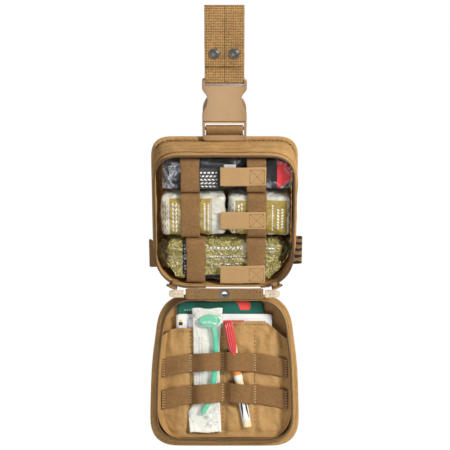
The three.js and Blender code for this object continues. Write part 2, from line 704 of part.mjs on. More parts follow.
// ---------------------------------------------------------------- zip sliders
// Each parks near the zip's end and turns about the middle of the rim's round corner. It is drawn for the
// right-hand corner, with +x pointing away from that middle, and mirrored for the left.
function zipSlider(side) {
  const word = side < 0 ? "left" : "right";
  const corner = new THREE.Group();
  corner.position.set(side * (RIM_HALF - CORNER_RADIUS), HINGE_Y, HINGE_Z + RIM_NEAR + CORNER_RADIUS);
  corner.scale.x = side;
  const parked = new THREE.Group();
  parked.rotation.y = (90 - SLIDER_PARK) * RAD;
  corner.add(parked);
  // Plates outside and inside the coils, joined by a web that passes between the two rims.
  const r = CORNER_RADIUS;
  const outer = box(r + 1.5, r + 2.9, -5.5, 5.5, -6, 6);
  const inner = box(r - ZIP_WIDTH - 2.2, r - ZIP_WIDTH - 1, -4.4, 4.4, -4, 4);
  const web = box(r - ZIP_WIDTH - 1.5, r + 2, -0.45, 0.45, -3, 3);
  const crown = box(r + 2.5, r + 5.6, -1.4, 1.4, -4.5, 4.5);
  const eye = box(r + 3.1, r + 4.7, -3, 3, -2.2, 2.2);
  parked.add(piece(`zip_slider_${word}`, cut(join(outer, inner, web, crown), eye), zipMetal));
  // The pull hooks through the crown's eye and lies up the side of the pouch.
  const outline = roundedOutline([
    [-3.4, -0.8, 0.4],
    [3.4, -0.8, 0.4],
    [2.6, 22, 2],
    [-2.6, 22, 2],
  ]);
  const slot = box(-1.9, 1.9, -5, 5, 0.3, 6.5);
  const pull = cut(plate(outline, 0.45, 0.9, 0, 3), slot).rotateZ(Math.PI / 2).translate(r + 3.9, 0, 0);
  parked.add(piece(`zip_pull_${word}`, pull, zipMetal));
  return corner;
}

// ---------------------------------------------------------------- fabric hinge with its drain grommet
function hingeFlap() {
  const group = new THREE.Group();
  group.position.set(0, HINGE_Y, HINGE_Z);
  group.rotation.x = (-LID_TILT / 2) * RAD;
  const half = FLAP_HEIGHT / 2;
  const strip = box(-FLAP_HALF, FLAP_HALF, -FLAP_THICK / 2, FLAP_THICK / 2, -half, half);
  const barrel = GROMMET_BORE + 0.9;
  const hole = new THREE.CylinderGeometry(barrel + 0.3, barrel + 0.3, 10, 24);
  group.add(piece("hinge_flap", cut(strip, hole), coyoteDark));
  const face = FLAP_THICK / 2 + GAP;
  const ring = [
    [GROMMET_BORE, -face - 0.7],
    [GROMMET_RADIUS, -face - 0.5],
    [GROMMET_RADIUS, -face],
    [barrel, -face],
    [barrel, face],
    [GROMMET_RADIUS, face],
    [GROMMET_RADIUS, face + 0.5],
    [GROMMET_BORE, face + 0.7],
    [GROMMET_BORE, -face - 0.7],
  ];
  group.add(piece("drain_grommet", turned(ring, 0, 0, 0, 28), blackMetal));
  for (const side of [-1, 1]) {
    const start = side * (FLAP_HALF + GAP + 1.5);
    const end = side * (FLAP_HALF + 22);
    const tab = roundedOutline([
      [start, -5.6, 1],
      [end, -4.6, 4],
      [end, 4.6, 4],
      [start, 5.6, 1],
    ]);
    const name = side < 0 ? "zip_end_tab_left" : "zip_end_tab_right";
    group.add(piece(name, plate(tab, 1.3, 2.6, 0, 4), cream));
  }
  return group;
}

// ---------------------------------------------------------------- lid
// Drawn in its own frame: the hinge line is the origin, z drops to the far edge and the panel is at +y.
// route is [x, lift] along the band, lifted off the pocket where it passes over what it holds.
function bandOnPocket(name, [z, width], route) {
  const flat = POCKET_Y - POCKET_THICK - GAP - BAND_THICK / 2 - 0.1;
  const path = route.map(([x, lift]) => [x, flat - lift]);
  const geometry = bandAcross(path, BAND_THICK, z - width / 2, z + width / 2);
  const position = geometry.attributes.position;
  const half = route.at(-1)[0];
  for (let i = 0; i < position.count; i++) {
    const share = position.getX(i) / half;
    position.setZ(i, position.getZ(i) - POCKET_SAG * share * share);
  }
  return piece(name, geometry, elastic);
}

function lidShell() {
  const group = new THREE.Group();
  const panel = halfOutline(LID_HALF_WIDTH, 2, LID_FAR, 38, -1);
  const rim = halfOutline(RIM_HALF, RIM_NEAR, RIM_FAR, 34, -1);
  const panelFront = RIM_GAP + LID_DEPTH;
  group.add(piece("lid_panel", plate(panel, panelFront + LID_THICK, LID_THICK, 1.6), coyote));
  const wallFront = RIM_GAP + ZIP_DEPTH;
  const wallBack = panelFront - GAP;
  const middle = (wallFront + wallBack) / 2;
  const between = (inset) =>
    outlinePoints(panel, SEAM_INSET + inset).map((p, i) =>
      p.clone().lerp(outlinePoints(rim, inset)[i], 0.45),
    );
  const rings = [
    [outlinePoints(panel, SEAM_INSET), wallBack],
    [between(0), middle],
    [outlinePoints(rim, 0), wallFront],
    [outlinePoints(rim, WALL), wallFront],
    [between(WALL), middle],
    [outlinePoints(panel, SEAM_INSET + WALL), wallBack],
  ];
  group.add(piece("lid_side_wall", wallRing(rings), coyote));
  group.add(piece("lid_zip", zipBand(rim, -1, wallFront - GAP), zipCoil));
  return group;
}

function lidPocket() {
  const group = new THREE.Group();
  const outline = roundedOutline([
    [-89, -66, 6],
    [-70, -47, 10],
    [-3, -48, 1],
    [-1, -38.5, 1],
    [60, -38, 12],
    [89, -64, 10],
    [88.5, -186, 24],
    [-88.5, -186, 24],
  ]);
  group.add(piece("inner_pocket", plate(outline, POCKET_Y, POCKET_THICK, 0, 5), coyoteDark));
  const left = [[-86, 0], [-84, 0], [-76, 1.2], [-57, 1.2], [-49, 0], [-45, 0]];
  const right = [[40, 0], [44, 0], [52, 1.2], [76, 1.2], [84, 0], [86, 0]];
  const lift = BAND_LIFT;
  const overUpper = [
    [-32, lift * 0.82],
    [-22, lift],
    [-9, lift],
    [-5, 1.4],
    [-2, 0],
    [0, 1],
    [3, lift],
    [25, lift],
    [33, lift * 0.6],
  ];
  const overLower = [
    [-38, lift * 0.75],
    [-29, lift],
    [-12, lift],
    [-5, 1.5],
    [-2, 0],
    [2, 1.5],
    [11, lift],
    [34, lift],
    [38, 2],
  ];
  group.add(bandOnPocket("pocket_band_upper", POCKET_BANDS.upper, [...left, ...overUpper, ...right]));
  group.add(bandOnPocket("pocket_band_lower", POCKET_BANDS.lower, [...left, ...overLower, ...right]));
  const card = (name, x0, x1, top, low, yBack, material) => {
    const corner = 9;
    const shape = roundedOutline([
      [x0, top, corner],
      [x1, top, corner],
      [x1, low, corner],
      [x0, low, corner],
    ]);
    group.add(piece(name, plate(shape, yBack, 1, 0, 4), material));
  };
  card("instruction_card", -65, 54, -11.5, -146, POCKET_Y + 5.7, greenCard);
  card("casualty_card", -66, 65, -28.5, -152, POCKET_Y + 2.9, whiteCard);
  return group;
}

function airway() {
  const group = new THREE.Group();
  const back = POCKET_Y - POCKET_THICK - GAP;
  const paper = roundedOutline([
    [-44.5, -20, 1],
    [-2.5, -23, 1],
    [-6.4, -70, 2],
    [-6.4, -150, 2],
    [-4, -191, 1],
    [-47, -189, 1],
    [-49.5, -162, 2],
    [-41, -150, 2],
    [-42.2, -58, 1],
  ]);
  group.add(piece("airway_wrap", plate(paper, back, 0.9, 0, 3), whiteFilm));

  // Soft trumpet: a curved tube with a flared flange at its upper end.
  const centreY = back - 0.9 - GAP - 4.2;
  const path = new THREE.CatmullRomCurve3(
    [
      [-15.5, -44],
      [-12.5, -62],
      [-13, -92],
      [-16, -125],
      [-22, -147],
      [-30, -163],
    ].map(([x, z]) => new THREE.Vector3(x, centreY, z)),
  );
  const ring = new THREE.Shape().absarc(0, 0, 4, 0, 2 * Math.PI);
  const tube = new THREE.ExtrudeGeometry(ring, {
    steps: 22,
    extrudePath: path,
    curveSegments: 6,
    bevelEnabled: false,
  });
  const flare = new THREE.CylinderGeometry(1, 0.9, 1, 20).scale(15.5, 6.4, 9);
  flare.rotateY(-4 * RAD).translate(-20.5, centreY + 0.4, -37.5);
  group.add(piece("airway_tube", join(tube, flare), airwayGreen));
  return group;
}

const needleAxis = new THREE.Vector3(
  NEEDLE_END[0] - NEEDLE_TOP[0],
  0,
  NEEDLE_END[1] - NEEDLE_TOP[1],
).normalize();

// A turned shape along the needle case's own line: h runs from its top to its end.
function alongNeedle(profile, segments = 16) {
  const points = profile.map(([r, h]) => new THREE.Vector2(r, h));
  const geometry = new THREE.LatheGeometry(points, segments).scale(1.2, 1, 1);
  const turn = new THREE.Matrix4().makeBasis(
    new THREE.Vector3(0, 1, 0).cross(needleAxis).negate(),
    needleAxis,
    new THREE.Vector3(0, 1, 0),
  );
  if (turn.determinant() < 0) turn.multiply(new THREE.Matrix4().makeScale(1, 1, -1));
  return geometry.applyMatrix4(turn).translate(NEEDLE_TOP[0], NEEDLE_Y, NEEDLE_TOP[1]);
}

function needleCase() {
  const length = Math.hypot(NEEDLE_END[0] - NEEDLE_TOP[0], NEEDLE_END[1] - NEEDLE_TOP[1]);
  const r = NEEDLE_RADIUS;
  const seat = 14; // stub that the cap covers
  const profile = [
    [0, CAP_TRAVEL - 8],
    [r - 1.5, CAP_TRAVEL - 8],
    [r - 1.5, CAP_TRAVEL + seat],
    [r, CAP_TRAVEL + seat + 1],
    [r, length - 1],
    [r - 1, length],
    [0, length],
  ];
  return piece("needle_case", alongNeedle(profile), tubeYellow);
}

function needleCap() {
  const r = CAP_RADIUS;
  const hollow = NEEDLE_RADIUS - 1.5 + 0.3;
  const mouth = CAP_TRAVEL + 13;
  const profile = [
    [0, 0],
    [r - 1, 0],
    [r, 1.2],
    [r, mouth - 1],
    [r - 0.8, mouth],
    [hollow, mouth],
    [hollow, CAP_TRAVEL - 8.6],
    [0, CAP_TRAVEL - 8.6],
  ];
  const clip = new THREE.Shape();
  clip.moveTo(-5.2, -2);
  clip.lineTo(5.2, -2);
  clip.lineTo(4.6, -24);
  clip.lineTo(1.6, -47);
  clip.lineTo(-1.6, -47);
  clip.lineTo(-4.6, -24);
  clip.closePath();
  const lean = Math.atan2(needleAxis.x, -needleAxis.z);
  const clipFront = NEEDLE_Y - 9.1;
  const blade = plate(clip, clipFront + 1.4, 1.4, 0).rotateY(-lean);
  const bridge = box(-4.6, 4.6, clipFront, NEEDLE_Y - r + 2, -9, -2.4).rotateY(-lean);
  blade.translate(NEEDLE_TOP[0], 0, NEEDLE_TOP[1]);
  bridge.translate(NEEDLE_TOP[0], 0, NEEDLE_TOP[1]);
  return piece("needle_cap", join(alongNeedle(profile), bridge, blade), redPlastic);
}

// Outside of the lid: hook-and-loop field above two rows of attachment webbing.
function lidOutside() {
  const group = new THREE.Group();
  const face = RIM_GAP + LID_DEPTH + LID_THICK;
  const field = roundedOutline([
    [-50, -44, 3],
    [50, -44, 3],
    [50, -98, 3],
    [-50, -98, 3],
  ]);
  group.add(piece("lid_patch_field", plate(field, face + GAP + 1.6, 1.6, 0, 3), coyoteDark));
  [-122, -160].forEach((z, row) => {
    const path = [];
    const bars = [-76, -38, 0, 38, 76];
    bars.slice(0, -1).forEach((x) => {
      for (let k = 0; k < 6; k++) {
        const lift = 2.6 * Math.sin((Math.PI * k) / 6);
        path.push([x + (38 * k) / 6, face + GAP + 0.8 + lift]);
      }
    });
    path.push([bars.at(-1), face + GAP + 0.8]);
    group.add(piece(`lid_webbing_${row ? "lower" : "upper"}`, bandAcross(path, 1.5, z - 12.5, z + 12.5), webbing));
  });
  return group;
}

// ---------------------------------------------------------------- assembly
const kit = new THREE.Group();
for (const side of [-1, 1]) kit.add(beltStrap(side), beltFlap(side));
kit.add(buckleSocket(), bucklePlug(), buckleProng(-1), buckleProng(1), dropWebbing());
kit.add(backShell(), elasticBand("band_left", BAND_LEFT_X), elasticBand("band_right", BAND_RIGHT_X));
for (const [row, place] of Object.entries(TABS)) kit.add(sewnTab(row, place), freeTab(row, place));
kit.add(tourniquet(), dressings(), thighStrap(), hingeFlap());
for (const side of [-1, 1]) kit.add(zipSlider(side));

const lid = new THREE.Group();
lid.position.set(0, HINGE_Y, HINGE_Z);
lid.rotation.x = -LID_TILT * RAD;
lid.add(lidShell(), lidPocket(), airway(), needleCase(), needleCap(), lidOutside());
kit.add(lid);

export default kit;
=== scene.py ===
# %% [markdown]
# # An open trauma kit that hangs from a belt
# Two webbing loops and a side-release buckle carry it. Inside are a wrapped tourniquet, two gauze
# packs, a foil dressing, and in the lid a pocket with cards, an airway and a needle case. We load
# the measured frame first, because every cloth, band and packet is laid over the solids that it
# stands for.

import json
import math

import bmesh
import bpy
from mathutils import Matrix, Vector, noise

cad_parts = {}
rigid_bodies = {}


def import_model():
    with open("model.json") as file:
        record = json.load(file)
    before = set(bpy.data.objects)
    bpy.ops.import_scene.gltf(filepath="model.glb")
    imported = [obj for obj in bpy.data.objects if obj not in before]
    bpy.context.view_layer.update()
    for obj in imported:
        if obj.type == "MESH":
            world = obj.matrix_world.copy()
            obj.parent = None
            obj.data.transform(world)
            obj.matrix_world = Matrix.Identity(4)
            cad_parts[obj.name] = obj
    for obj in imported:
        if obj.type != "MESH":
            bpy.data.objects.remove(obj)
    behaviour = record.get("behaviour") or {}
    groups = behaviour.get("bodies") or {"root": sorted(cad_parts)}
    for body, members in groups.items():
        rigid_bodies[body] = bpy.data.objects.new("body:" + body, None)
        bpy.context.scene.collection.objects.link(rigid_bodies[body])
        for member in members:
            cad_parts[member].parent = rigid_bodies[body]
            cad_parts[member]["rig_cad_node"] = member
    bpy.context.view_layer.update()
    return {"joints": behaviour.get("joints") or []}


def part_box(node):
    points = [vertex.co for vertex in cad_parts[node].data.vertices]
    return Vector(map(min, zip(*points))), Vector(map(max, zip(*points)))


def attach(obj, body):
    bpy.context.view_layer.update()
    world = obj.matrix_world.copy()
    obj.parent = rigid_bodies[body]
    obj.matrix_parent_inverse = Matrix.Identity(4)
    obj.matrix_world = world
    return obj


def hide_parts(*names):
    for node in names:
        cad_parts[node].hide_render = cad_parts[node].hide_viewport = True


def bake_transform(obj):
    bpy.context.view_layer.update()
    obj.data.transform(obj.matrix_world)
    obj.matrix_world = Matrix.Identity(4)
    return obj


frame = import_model()
joints = {j["name"]: j for j in frame["joints"]}
MM = 0.001

# %% [markdown]
# The lid hangs from the hinge line and leans forward. Its pieces are easier to shape in its own
# frame, where the hinge line is the origin, so one matrix puts them in place at the end.

# %% The hinge line and the lid's frame
HINGE = Vector(joints["lid_fold"]["pos_m"])
LID_LEAN = math.radians(20)
LID_FRAME = Matrix.Translation(HINGE) @ Matrix.Rotation(-LID_LEAN, 4, "X")
HERE = Matrix.Identity(4)
print("hinge line at", tuple(round(c, 4) for c in HINGE))

# %% [markdown]
# Shader maths reads better as arithmetic. A Socket wraps one output of a node, and adding or
# multiplying it adds the Math node. Surface is one material: its node() method makes any other node.

# %% Shader arithmetic
class Socket:
    """One output of a node, usable in arithmetic."""

    def __init__(self, surface, socket):
        self.surface = surface
        self.socket = socket

    def math(self, operation, *values, clamp=False):
        settings = {"operation": operation, "use_clamp": clamp}
        return self.surface.node("ShaderNodeMath", settings, *values)

    def __add__(self, other):
        return self.math("ADD", self, other)

    def __radd__(self, other):
        return self.math("ADD", other, self)

    def __sub__(self, other):
        return self.math("SUBTRACT", self, other)

    def __rsub__(self, other):
        return self.math("SUBTRACT", other, self)

    def __mul__(self, other):
        return self.math("MULTIPLY", self, other)

    def __rmul__(self, other):
        return self.math("MULTIPLY", other, self)

    def __truediv__(self, other):
        return self.math("DIVIDE", self, other)

    def power(self, exponent):
        return self.math("POWER", self, exponent)

    def sine(self):
        return self.math("SINE", self)

    def size(self):
        return self.math("ABSOLUTE", self)

    def clamped(self):
        return self.math("ADD", self, 0.0, clamp=True)

    def between(self, low, high, soft):
        """1 from low to high, fading over soft at either end."""
        rise = self.math("DIVIDE", self - low, soft, clamp=True)
        fall = self.math("DIVIDE", high - self, soft, clamp=True)
        return rise * fall

    def above(self, edge, soft):
        return self.math("DIVIDE", self - edge, soft, clamp=True)


class Surface:
    """A material and the nodes that make it."""

    def __init__(self, name):
        self.material = bpy.data.materials.new(name)
        self.material.use_nodes = True
        self.tree = self.material.node_tree
        self.tree.nodes.clear()
        self.result = self.tree.nodes.new("ShaderNodeOutputMaterial")

    def feed(self, socket, value):
        if isinstance(value, Socket):
            self.tree.links.new(value.socket, socket)
        elif isinstance(value, (tuple, list)) and len(value) == 3 and socket.type == "RGBA":
            socket.default_value = (*value, 1.0)
        else:
            socket.default_value = value

    def node(self, kind, settings=None, *values, out=0, **named):
        made = self.tree.nodes.new(kind)
        for key, value in (settings or {}).items():
            if key == "stops":
                ramp = made.color_ramp
                for place, colour in value[2:]:
                    ramp.elements.new(place)
                for element, (place, colour) in zip(ramp.elements, sorted(value)):
                    element.position = place
                    element.color = (*colour, 1.0)
            else:
                setattr(made, key, value)
        for i, value in enumerate(values):
            self.feed(made.inputs[i], value)
        for key, value in named.items():
            self.feed(made.inputs[key.replace("_", " ")], value)
        return Socket(self, made.outputs[out])

    def place(self):
        """Object coordinates as x, y and z."""
        spot = self.node("ShaderNodeTexCoord", out=3)
        return [self.node("ShaderNodeSeparateXYZ", None, spot, out=i) for i in range(3)]

    def cloth_place(self):
        """The piece's own UV map: metres across and along the cloth."""
        spot = self.node("ShaderNodeUVMap", {"uv_map": "UVMap"})
        return [self.node("ShaderNodeSeparateXYZ", None, spot, out=i) for i in range(2)]

    def noise(self, scale, detail=3.0, rough=0.55, stretch=(1, 1, 1), turn=(0, 0, 0), warp=0.0):
        spot = self.node("ShaderNodeTexCoord", out=3)
        spot = self.node("ShaderNodeMapping", None, spot, Scale=stretch, Rotation=turn)
        return self.node(
            "ShaderNodeTexNoise", None, Vector=spot, Scale=scale, Detail=detail, Roughness=rough,
            Distortion=warp,
        )

    def mix(self, share, first, second):
        settings = {"data_type": "RGBA", "clamp_factor": True}
        made = self.tree.nodes.new("ShaderNodeMix")
        for key, value in settings.items():
            setattr(made, key, value)
        for i, value in ((0, share), (6, first), (7, second)):
            self.feed(made.inputs[i], value)
        return Socket(self, made.outputs[2])

    def bump(self, height, distance, strength=1.0):
        return self.node(
            "ShaderNodeBump", None, Strength=strength, Distance=distance, Height=height
        )

    def finish(self, colour, roughness, normal=None, metallic=0.0, alpha=None, **constants):
        shader = self.tree.nodes.new("ShaderNodeBsdfPrincipled")
        self.feed(shader.inputs["Base Color"], colour)
        self.feed(shader.inputs["Roughness"], roughness)
        self.feed(shader.inputs["Metallic"], metallic)
        if alpha is not None:
            self.feed(shader.inputs["Alpha"], alpha)
        if normal is not None:
            self.feed(shader.inputs["Normal"], normal)
        for key, value in constants.items():
            shader.inputs[key.replace("_", " ")].default_value = value
        self.tree.links.new(shader.outputs[0], self.result.inputs["Surface"])
        return self.material


def shade(colour, factor):
    return tuple(min(1.0, c * factor) for c in colour)


print("shader arithmetic ready")

# %% [markdown]
# ## Cloth and webbing
# All the fabric is one family of coyote brown, but each cloth has its own build. Pouch cloth is a
# fine plain weave with a dry sheen. Webbing has coarse ribs that cross in a grid. Elastic is knitted
# flat with fine cross ribs. One function makes them all from the size of the weave, so that the
# threads have their true size wherever the cloth goes. The pattern follows each piece's UV map,
# which is kept in metres.

# %% Woven finishes
def woven(name, colour, across, along, relief, light=1.2, dark=0.68, sheen=0.06, rough=0.86, plain=0.0,
          grid=0.0):
    s = Surface(name)
    u, v = s.cloth_place()
    warp = (u * (math.pi / across)).sine()
    weft = (v * (math.pi / along)).sine()
    crossing = warp * weft
    ribs = crossing * (1 - plain) + weft.size() * plain
    squares = weft.size().power(0.6) * (warp.size().power(0.6) * 0.5 + 0.5) * 2 - 1.3
    ribs = ribs * (1 - grid) + squares * grid
    slub = s.noise(900.0, detail=2.0)
    fleck = s.noise(330.0, detail=3.0, rough=0.7)
    worn = s.noise(38.0, detail=4.0, rough=0.6)
    mottle = (slub - 0.5) * 0.8 + (fleck - 0.5) * 1.5 + (worn - 0.5) * 1.0
    tone = (ribs * (0.30 + 0.2 * grid) + 0.5 + mottle).clamped()
    base = s.mix(tone, shade(colour, dark), shade(colour, light))
    height = ribs * 0.8 + slub * 0.5
    return s.finish(
        base,
        rough - 0.1 * (1 - tone),
        s.bump(height, relief),
        Sheen_Weight=sheen,
        Sheen_Roughness=0.5,
        Sheen_Tint=(*shade(colour, 1.6), 1.0),
        Specular_IOR_Level=0.25,
    )


COYOTE = (0.50, 0.285, 0.105)
pouch_cloth = woven("pouch_cloth", COYOTE, 0.0007, 0.0007, 0.00016)
# painted shade: the hinge strip's cloth is the pouch cloth's coyote at half its brightness
shade_cloth = woven("shaded_hinge_cloth", (0.25, 0.14, 0.053), 0.0006, 0.0006, 0.00010, rough=0.7)
lining_cloth = woven("lining_cloth", (0.42, 0.24, 0.085), 0.0005, 0.0005, 0.00010, rough=0.46, dark=0.8)
loop_webbing = woven("loop_webbing", (0.46, 0.26, 0.098), 0.0023, 0.0021, 0.0007, light=1.25, dark=0.42,
                     grid=1.0)
drop_weave = woven("drop_weave", (0.36, 0.20, 0.075), 0.0024, 0.0018, 0.0004, dark=0.6, grid=1.0)
band_elastic = woven("band_elastic", (0.245, 0.13, 0.050), 0.0011, 0.0009, 0.00022, light=1.35, dark=0.62)
pocket_elastic = woven("pocket_elastic", (0.235, 0.122, 0.044), 0.0011, 0.0016, 0.00025, plain=0.6, dark=0.6)
rim_tape = woven("rim_tape", (0.215, 0.118, 0.050), 0.0012, 0.0014, 0.0002, dark=0.7)
tab_tape = woven("tab_tape", (0.46, 0.28, 0.122), 0.0008, 0.0008, 0.0001, light=1.06, dark=0.88)
pale_tape = woven("pale_tape", (0.70, 0.57, 0.42), 0.0010, 0.0010, 0.0002, light=1.1, dark=0.8)
thread = woven("thread", (0.14, 0.075, 0.03), 0.0004, 0.0004, 0.0001, dark=0.8)
pale_thread = woven("pale_thread", (0.72, 0.58, 0.36), 0.0004, 0.0004, 0.0001, dark=0.85)
print("woven finishes:", len(bpy.data.materials))

# %% [markdown]
# ## Helpers for shapes
# Most of the pouch is cloth, and cloth is a grid that has been laid somewhere. So a sheet starts as
# a flat bmesh grid, and a small function says where each spot of it goes. The same grid gives the
# UV map its metres. A Solidify modifier gives the sheet its real thickness afterwards.

# %% Placing finished meshes
def add_piece(name, bm, body, materials, stands_for=(), frame_of=HERE, smooth=True):
    mesh = bpy.data.meshes.new(name)
    bmesh.ops.transform(bm, matrix=frame_of, verts=bm.verts)
    bm.to_mesh(mesh)
    bm.free()
    for polygon in mesh.polygons:
        polygon.use_smooth = smooth
    for material in materials if isinstance(materials, (list, tuple)) else [materials]:
        mesh.materials.append(material)
    piece = bpy.data.objects.new(name, mesh)
    bpy.context.scene.collection.objects.link(piece)
    if body:
        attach(piece, body)
    if stands_for:
        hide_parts(*stands_for)
    return piece


def thicken(piece, thickness, offset=0.0, round_edge=0.0, segments=2):
    shell = piece.modifiers.new("thickness", "SOLIDIFY")
    shell.thickness = thickness
    shell.offset = offset
    shell.use_even_offset = True
    shell.use_quality_normals = True
    if round_edge:
        bevel = piece.modifiers.new("edges", "BEVEL")
        bevel.width = round_edge
        bevel.segments = segments
        bevel.limit_method = "ANGLE"
        bevel.angle_limit = math.radians(50)
    return piece


def settle(piece):
    """Applies the modifiers to the piece's mesh."""
    view = bpy.context.evaluated_depsgraph_get()
    view.update()
    made = bpy.data.meshes.new_from_object(piece.evaluated_get(view))
    piece.modifiers.clear()
    piece.data = made
    return piece


# %% Laying a sheet
def lay_sheet(across, along, place, size, closed=False):
    """A grid of across by along cells. place(u, v) says where u and v, from 0 to 1, go."""
    bm = bmesh.new()
    bmesh.ops.create_grid(bm, x_segments=across, y_segments=along, size=0.5)
    cloth = bm.loops.layers.uv.new("UVMap")
    spots = {vert: (vert.co.x + 0.5, vert.co.y + 0.5) for vert in bm.verts}
    for face in bm.faces:
        for loop in face.loops:
            u, v = spots[loop.vert]
            loop[cloth].uv = (u * size[0], v * size[1])
    for vert, (u, v) in spots.items():
        vert.co = place(u, v)
    if closed:
        bmesh.ops.remove_doubles(bm, verts=bm.verts, dist=1e-6)
    return bm


def along_line(points, closed=False, rounds=2):
    """A function from 0 to 1 that follows the points with their corners rounded."""
    line = [Vector(p) for p in points]
    for _ in range(rounds):
        cut = []
        pairs = list(zip(line, line[1:] + line[:1])) if closed else list(zip(line, line[1:]))
        for a, b in pairs:
            cut += [a.lerp(b, 0.25), a.lerp(b, 0.75)]
        line = cut if closed else [line[0], *cut[1:-1], line[-1]]
    if closed:
        line.append(line[0])
    reach = [0.0]
    for a, b in zip(line, line[1:]):
        reach.append(reach[-1] + (b - a).length)

    def at(t):
        far = t * reach[-1]
        low, high = 0, len(reach) - 1
        while high - low > 1:
            middle = (low + high) // 2
            if reach[middle] <= far:
                low = middle
            else:
                high = middle
        span = reach[high] - reach[low] or 1.0
        return line[low].lerp(line[high], (far - reach[low]) / span)

    at.length = reach[-1]
    return at


def strip(name, line, across, width, thickness, material, body, stands_for=(),
          frame_of=HERE, cells=8, step=0.003, wave=0.0, round_edge=0.0004, sag=None, offset=0.0):
    """A length of webbing: it follows line, and its width lies along the across direction."""
    at = line if callable(line) else along_line(line)
    count = max(4, int(at.length / step))
    sideways = Vector(across).normalized()

    def place(u, v):
        spot = at(v) + sideways * ((u - 0.5) * width)
        if wave:
            spot += sideways * wave * noise.noise(spot * 60) * (1 if abs(u - 0.5) > 0.45 else 0.4)
        if sag:
            spot += sag(spot, u, v)
        return spot

    bm = lay_sheet(cells, count, place, (width, at.length))
    piece = add_piece(name, bm, body, material, stands_for, frame_of)
    return thicken(piece, thickness, offset, round_edge)


print("sheet helpers ready")

# %% [markdown]
# Stitching is what makes a sewn thing look sewn. Each stitch is a short, low lozenge of thread that
# sinks at both ends, so a small flattened sphere with few faces is enough, repeated along a run.

# %% Stitching
def stitch_run(bm, start, end, facing, length=0.0032, gap=0.0018, girth=0.0007):
    start, end, facing = Vector(start), Vector(end), Vector(facing).normalized()
    run = end - start
    count = max(1, int(run.length / (length + gap)))
    along = run.normalized()
    side = facing.cross(along).normalized()
    turn = Matrix((along, side, facing)).transposed().to_4x4()
    for i in range(count):
        spot = start + run * ((i + 0.5) / count)
        upright = Matrix.Rotation(math.pi / 2, 4, "Y")
        shape = Matrix.Diagonal((length, girth * 1.5, girth * 1.3, 1.0)) @ upright
        made = Matrix.Translation(spot) @ turn @ shape
        bmesh.ops.create_uvsphere(bm, u_segments=6, v_segments=4, radius=0.5, matrix=made)


def stitches(name, runs, body, slot, material, frame_of=HERE, **sizes):
    bm = bmesh.new()
    bm.loops.layers.uv.new("UVMap")
    for start, end, facing in runs:
        stitch_run(bm, start, end, facing, **sizes)
    return add_piece(name, bm, body, material, (), frame_of)


def stitch_line(at, facing, steps, start=0.0, end=1.0):
    """Runs of stitches along a curve."""
    spots = [at(start + (end - start) * i / steps) for i in range(steps + 1)]
    return [(a, b, facing(a) if callable(facing) else facing) for a, b in zip(spots, spots[1:])]


# %% [markdown]
# ## The outline of the clamshell
# Both halves share one outline: round corners beside the hinge, where the zip ends, and tighter ones
# at the far edge. up is +1 for the back half, which rises from the hinge line, and -1 for the lid.
# The lid's cloth hangs slack, so its rim reaches a few millimetres lower than the back half's.

# %% Outlines
rim_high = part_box("back_zip")[1]
panel_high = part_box("back_panel")[1]
SKIN = 0.0003  # cloth stands this far in or out from the solid it covers
RIM_HALF = rim_high.x - SKIN
RIM_NEAR = 0.008
RIM_FAR = 0.194
CORNER = 0.045
PANEL_HALF = panel_high.x + SKIN
PANEL_FAR = panel_high.z - HINGE.z
LID_HALF = 0.101
LID_FAR = 0.2105
FAR_CUT = 0.034


def slump(z):
    """The open lid hangs by its hinge, so its sides draw in just below it and spread at the foot."""
    return 1 - 0.070 * math.exp(-(((z - 0.045) / 0.038) ** 2)) + 0.012 * min(1.0, max(0.0, (z - 0.11) / 0.06))


def outline(half, near, far, far_cut, up, inset=0.0, y=0.0):
    """The closed line as corner points, from the middle of the hinge side round to the right."""
    half, near, far, far_cut = half - inset, near + inset, far - inset, max(0.004, far_cut - inset)
    bend = max(0.01, CORNER + RIM_NEAR - near)
    points = [(0.0, near)]
    for i in range(9):
        angle = math.radians(-90 + i * 11.25)
        points.append((half - bend + bend * math.cos(angle), near + bend + bend * math.sin(angle)))
    for t in (0.35, 0.7):
        points.append((half, near + bend + (far - far_cut - near - bend) * t))
    for i in range(7):
        t = i / 6
        side, top = (1 - t) ** 2, t**2
        points.append((half - far_cut * top, far - far_cut * side))
    right = points[1:]
    points += [(0.0, far)] + [(-x, z) for x, z in reversed(right)]
    if up < 0:
        points = [(x * slump(z), z) for x, z in points]
    return [Vector((x, y, up * z)) for x, z in points]


PANEL = (PANEL_HALF, 0.002, PANEL_FAR, 0.027, 1)
BACK_RIM = (RIM_HALF, RIM_NEAR, RIM_FAR, FAR_CUT, 1)
LID_PANEL = (LID_HALF, 0.002, LID_FAR, 0.038, -1)
LID_RIM = (RIM_HALF - 0.0012, RIM_NEAR, RIM_FAR + 0.004, FAR_CUT, -1)
BACK_FRAME = Matrix.Translation((0.0, 0.0, HINGE.z))
print("rim half", round(RIM_HALF, 4), "panel half", round(PANEL_HALF, 4))

# %% [markdown]
# ## Finishes that aren't cloth
# Films and foils get their look from creases. A crease is where a warped noise field crosses its
# middle, so one minus its distance from the middle gives a net of sharp ridges.

# %% Plastics, metals and films
def creases(s, scale, warp=0.8, turn=(0, 0, 0), stretch=(1, 1, 1)):
    field = s.noise(scale, detail=3.0, rough=0.5, stretch=stretch, turn=turn, warp=warp)
    return 1 - ((field - 0.5) * 5).size().clamped()


def plain(name, colour, rough, metallic=0.0, grain=0.00004, grain_size=500.0, **constants):
    s = Surface(name)
    worn = s.noise(70.0, detail=4.0)
    base = s.mix(worn, shade(colour, 0.86), shade(colour, 1.12))
    height = s.noise(grain_size, detail=2.0)
    return s.finish(base, rough + (worn - 0.5) * 0.15, s.bump(height, grain), metallic, **constants)


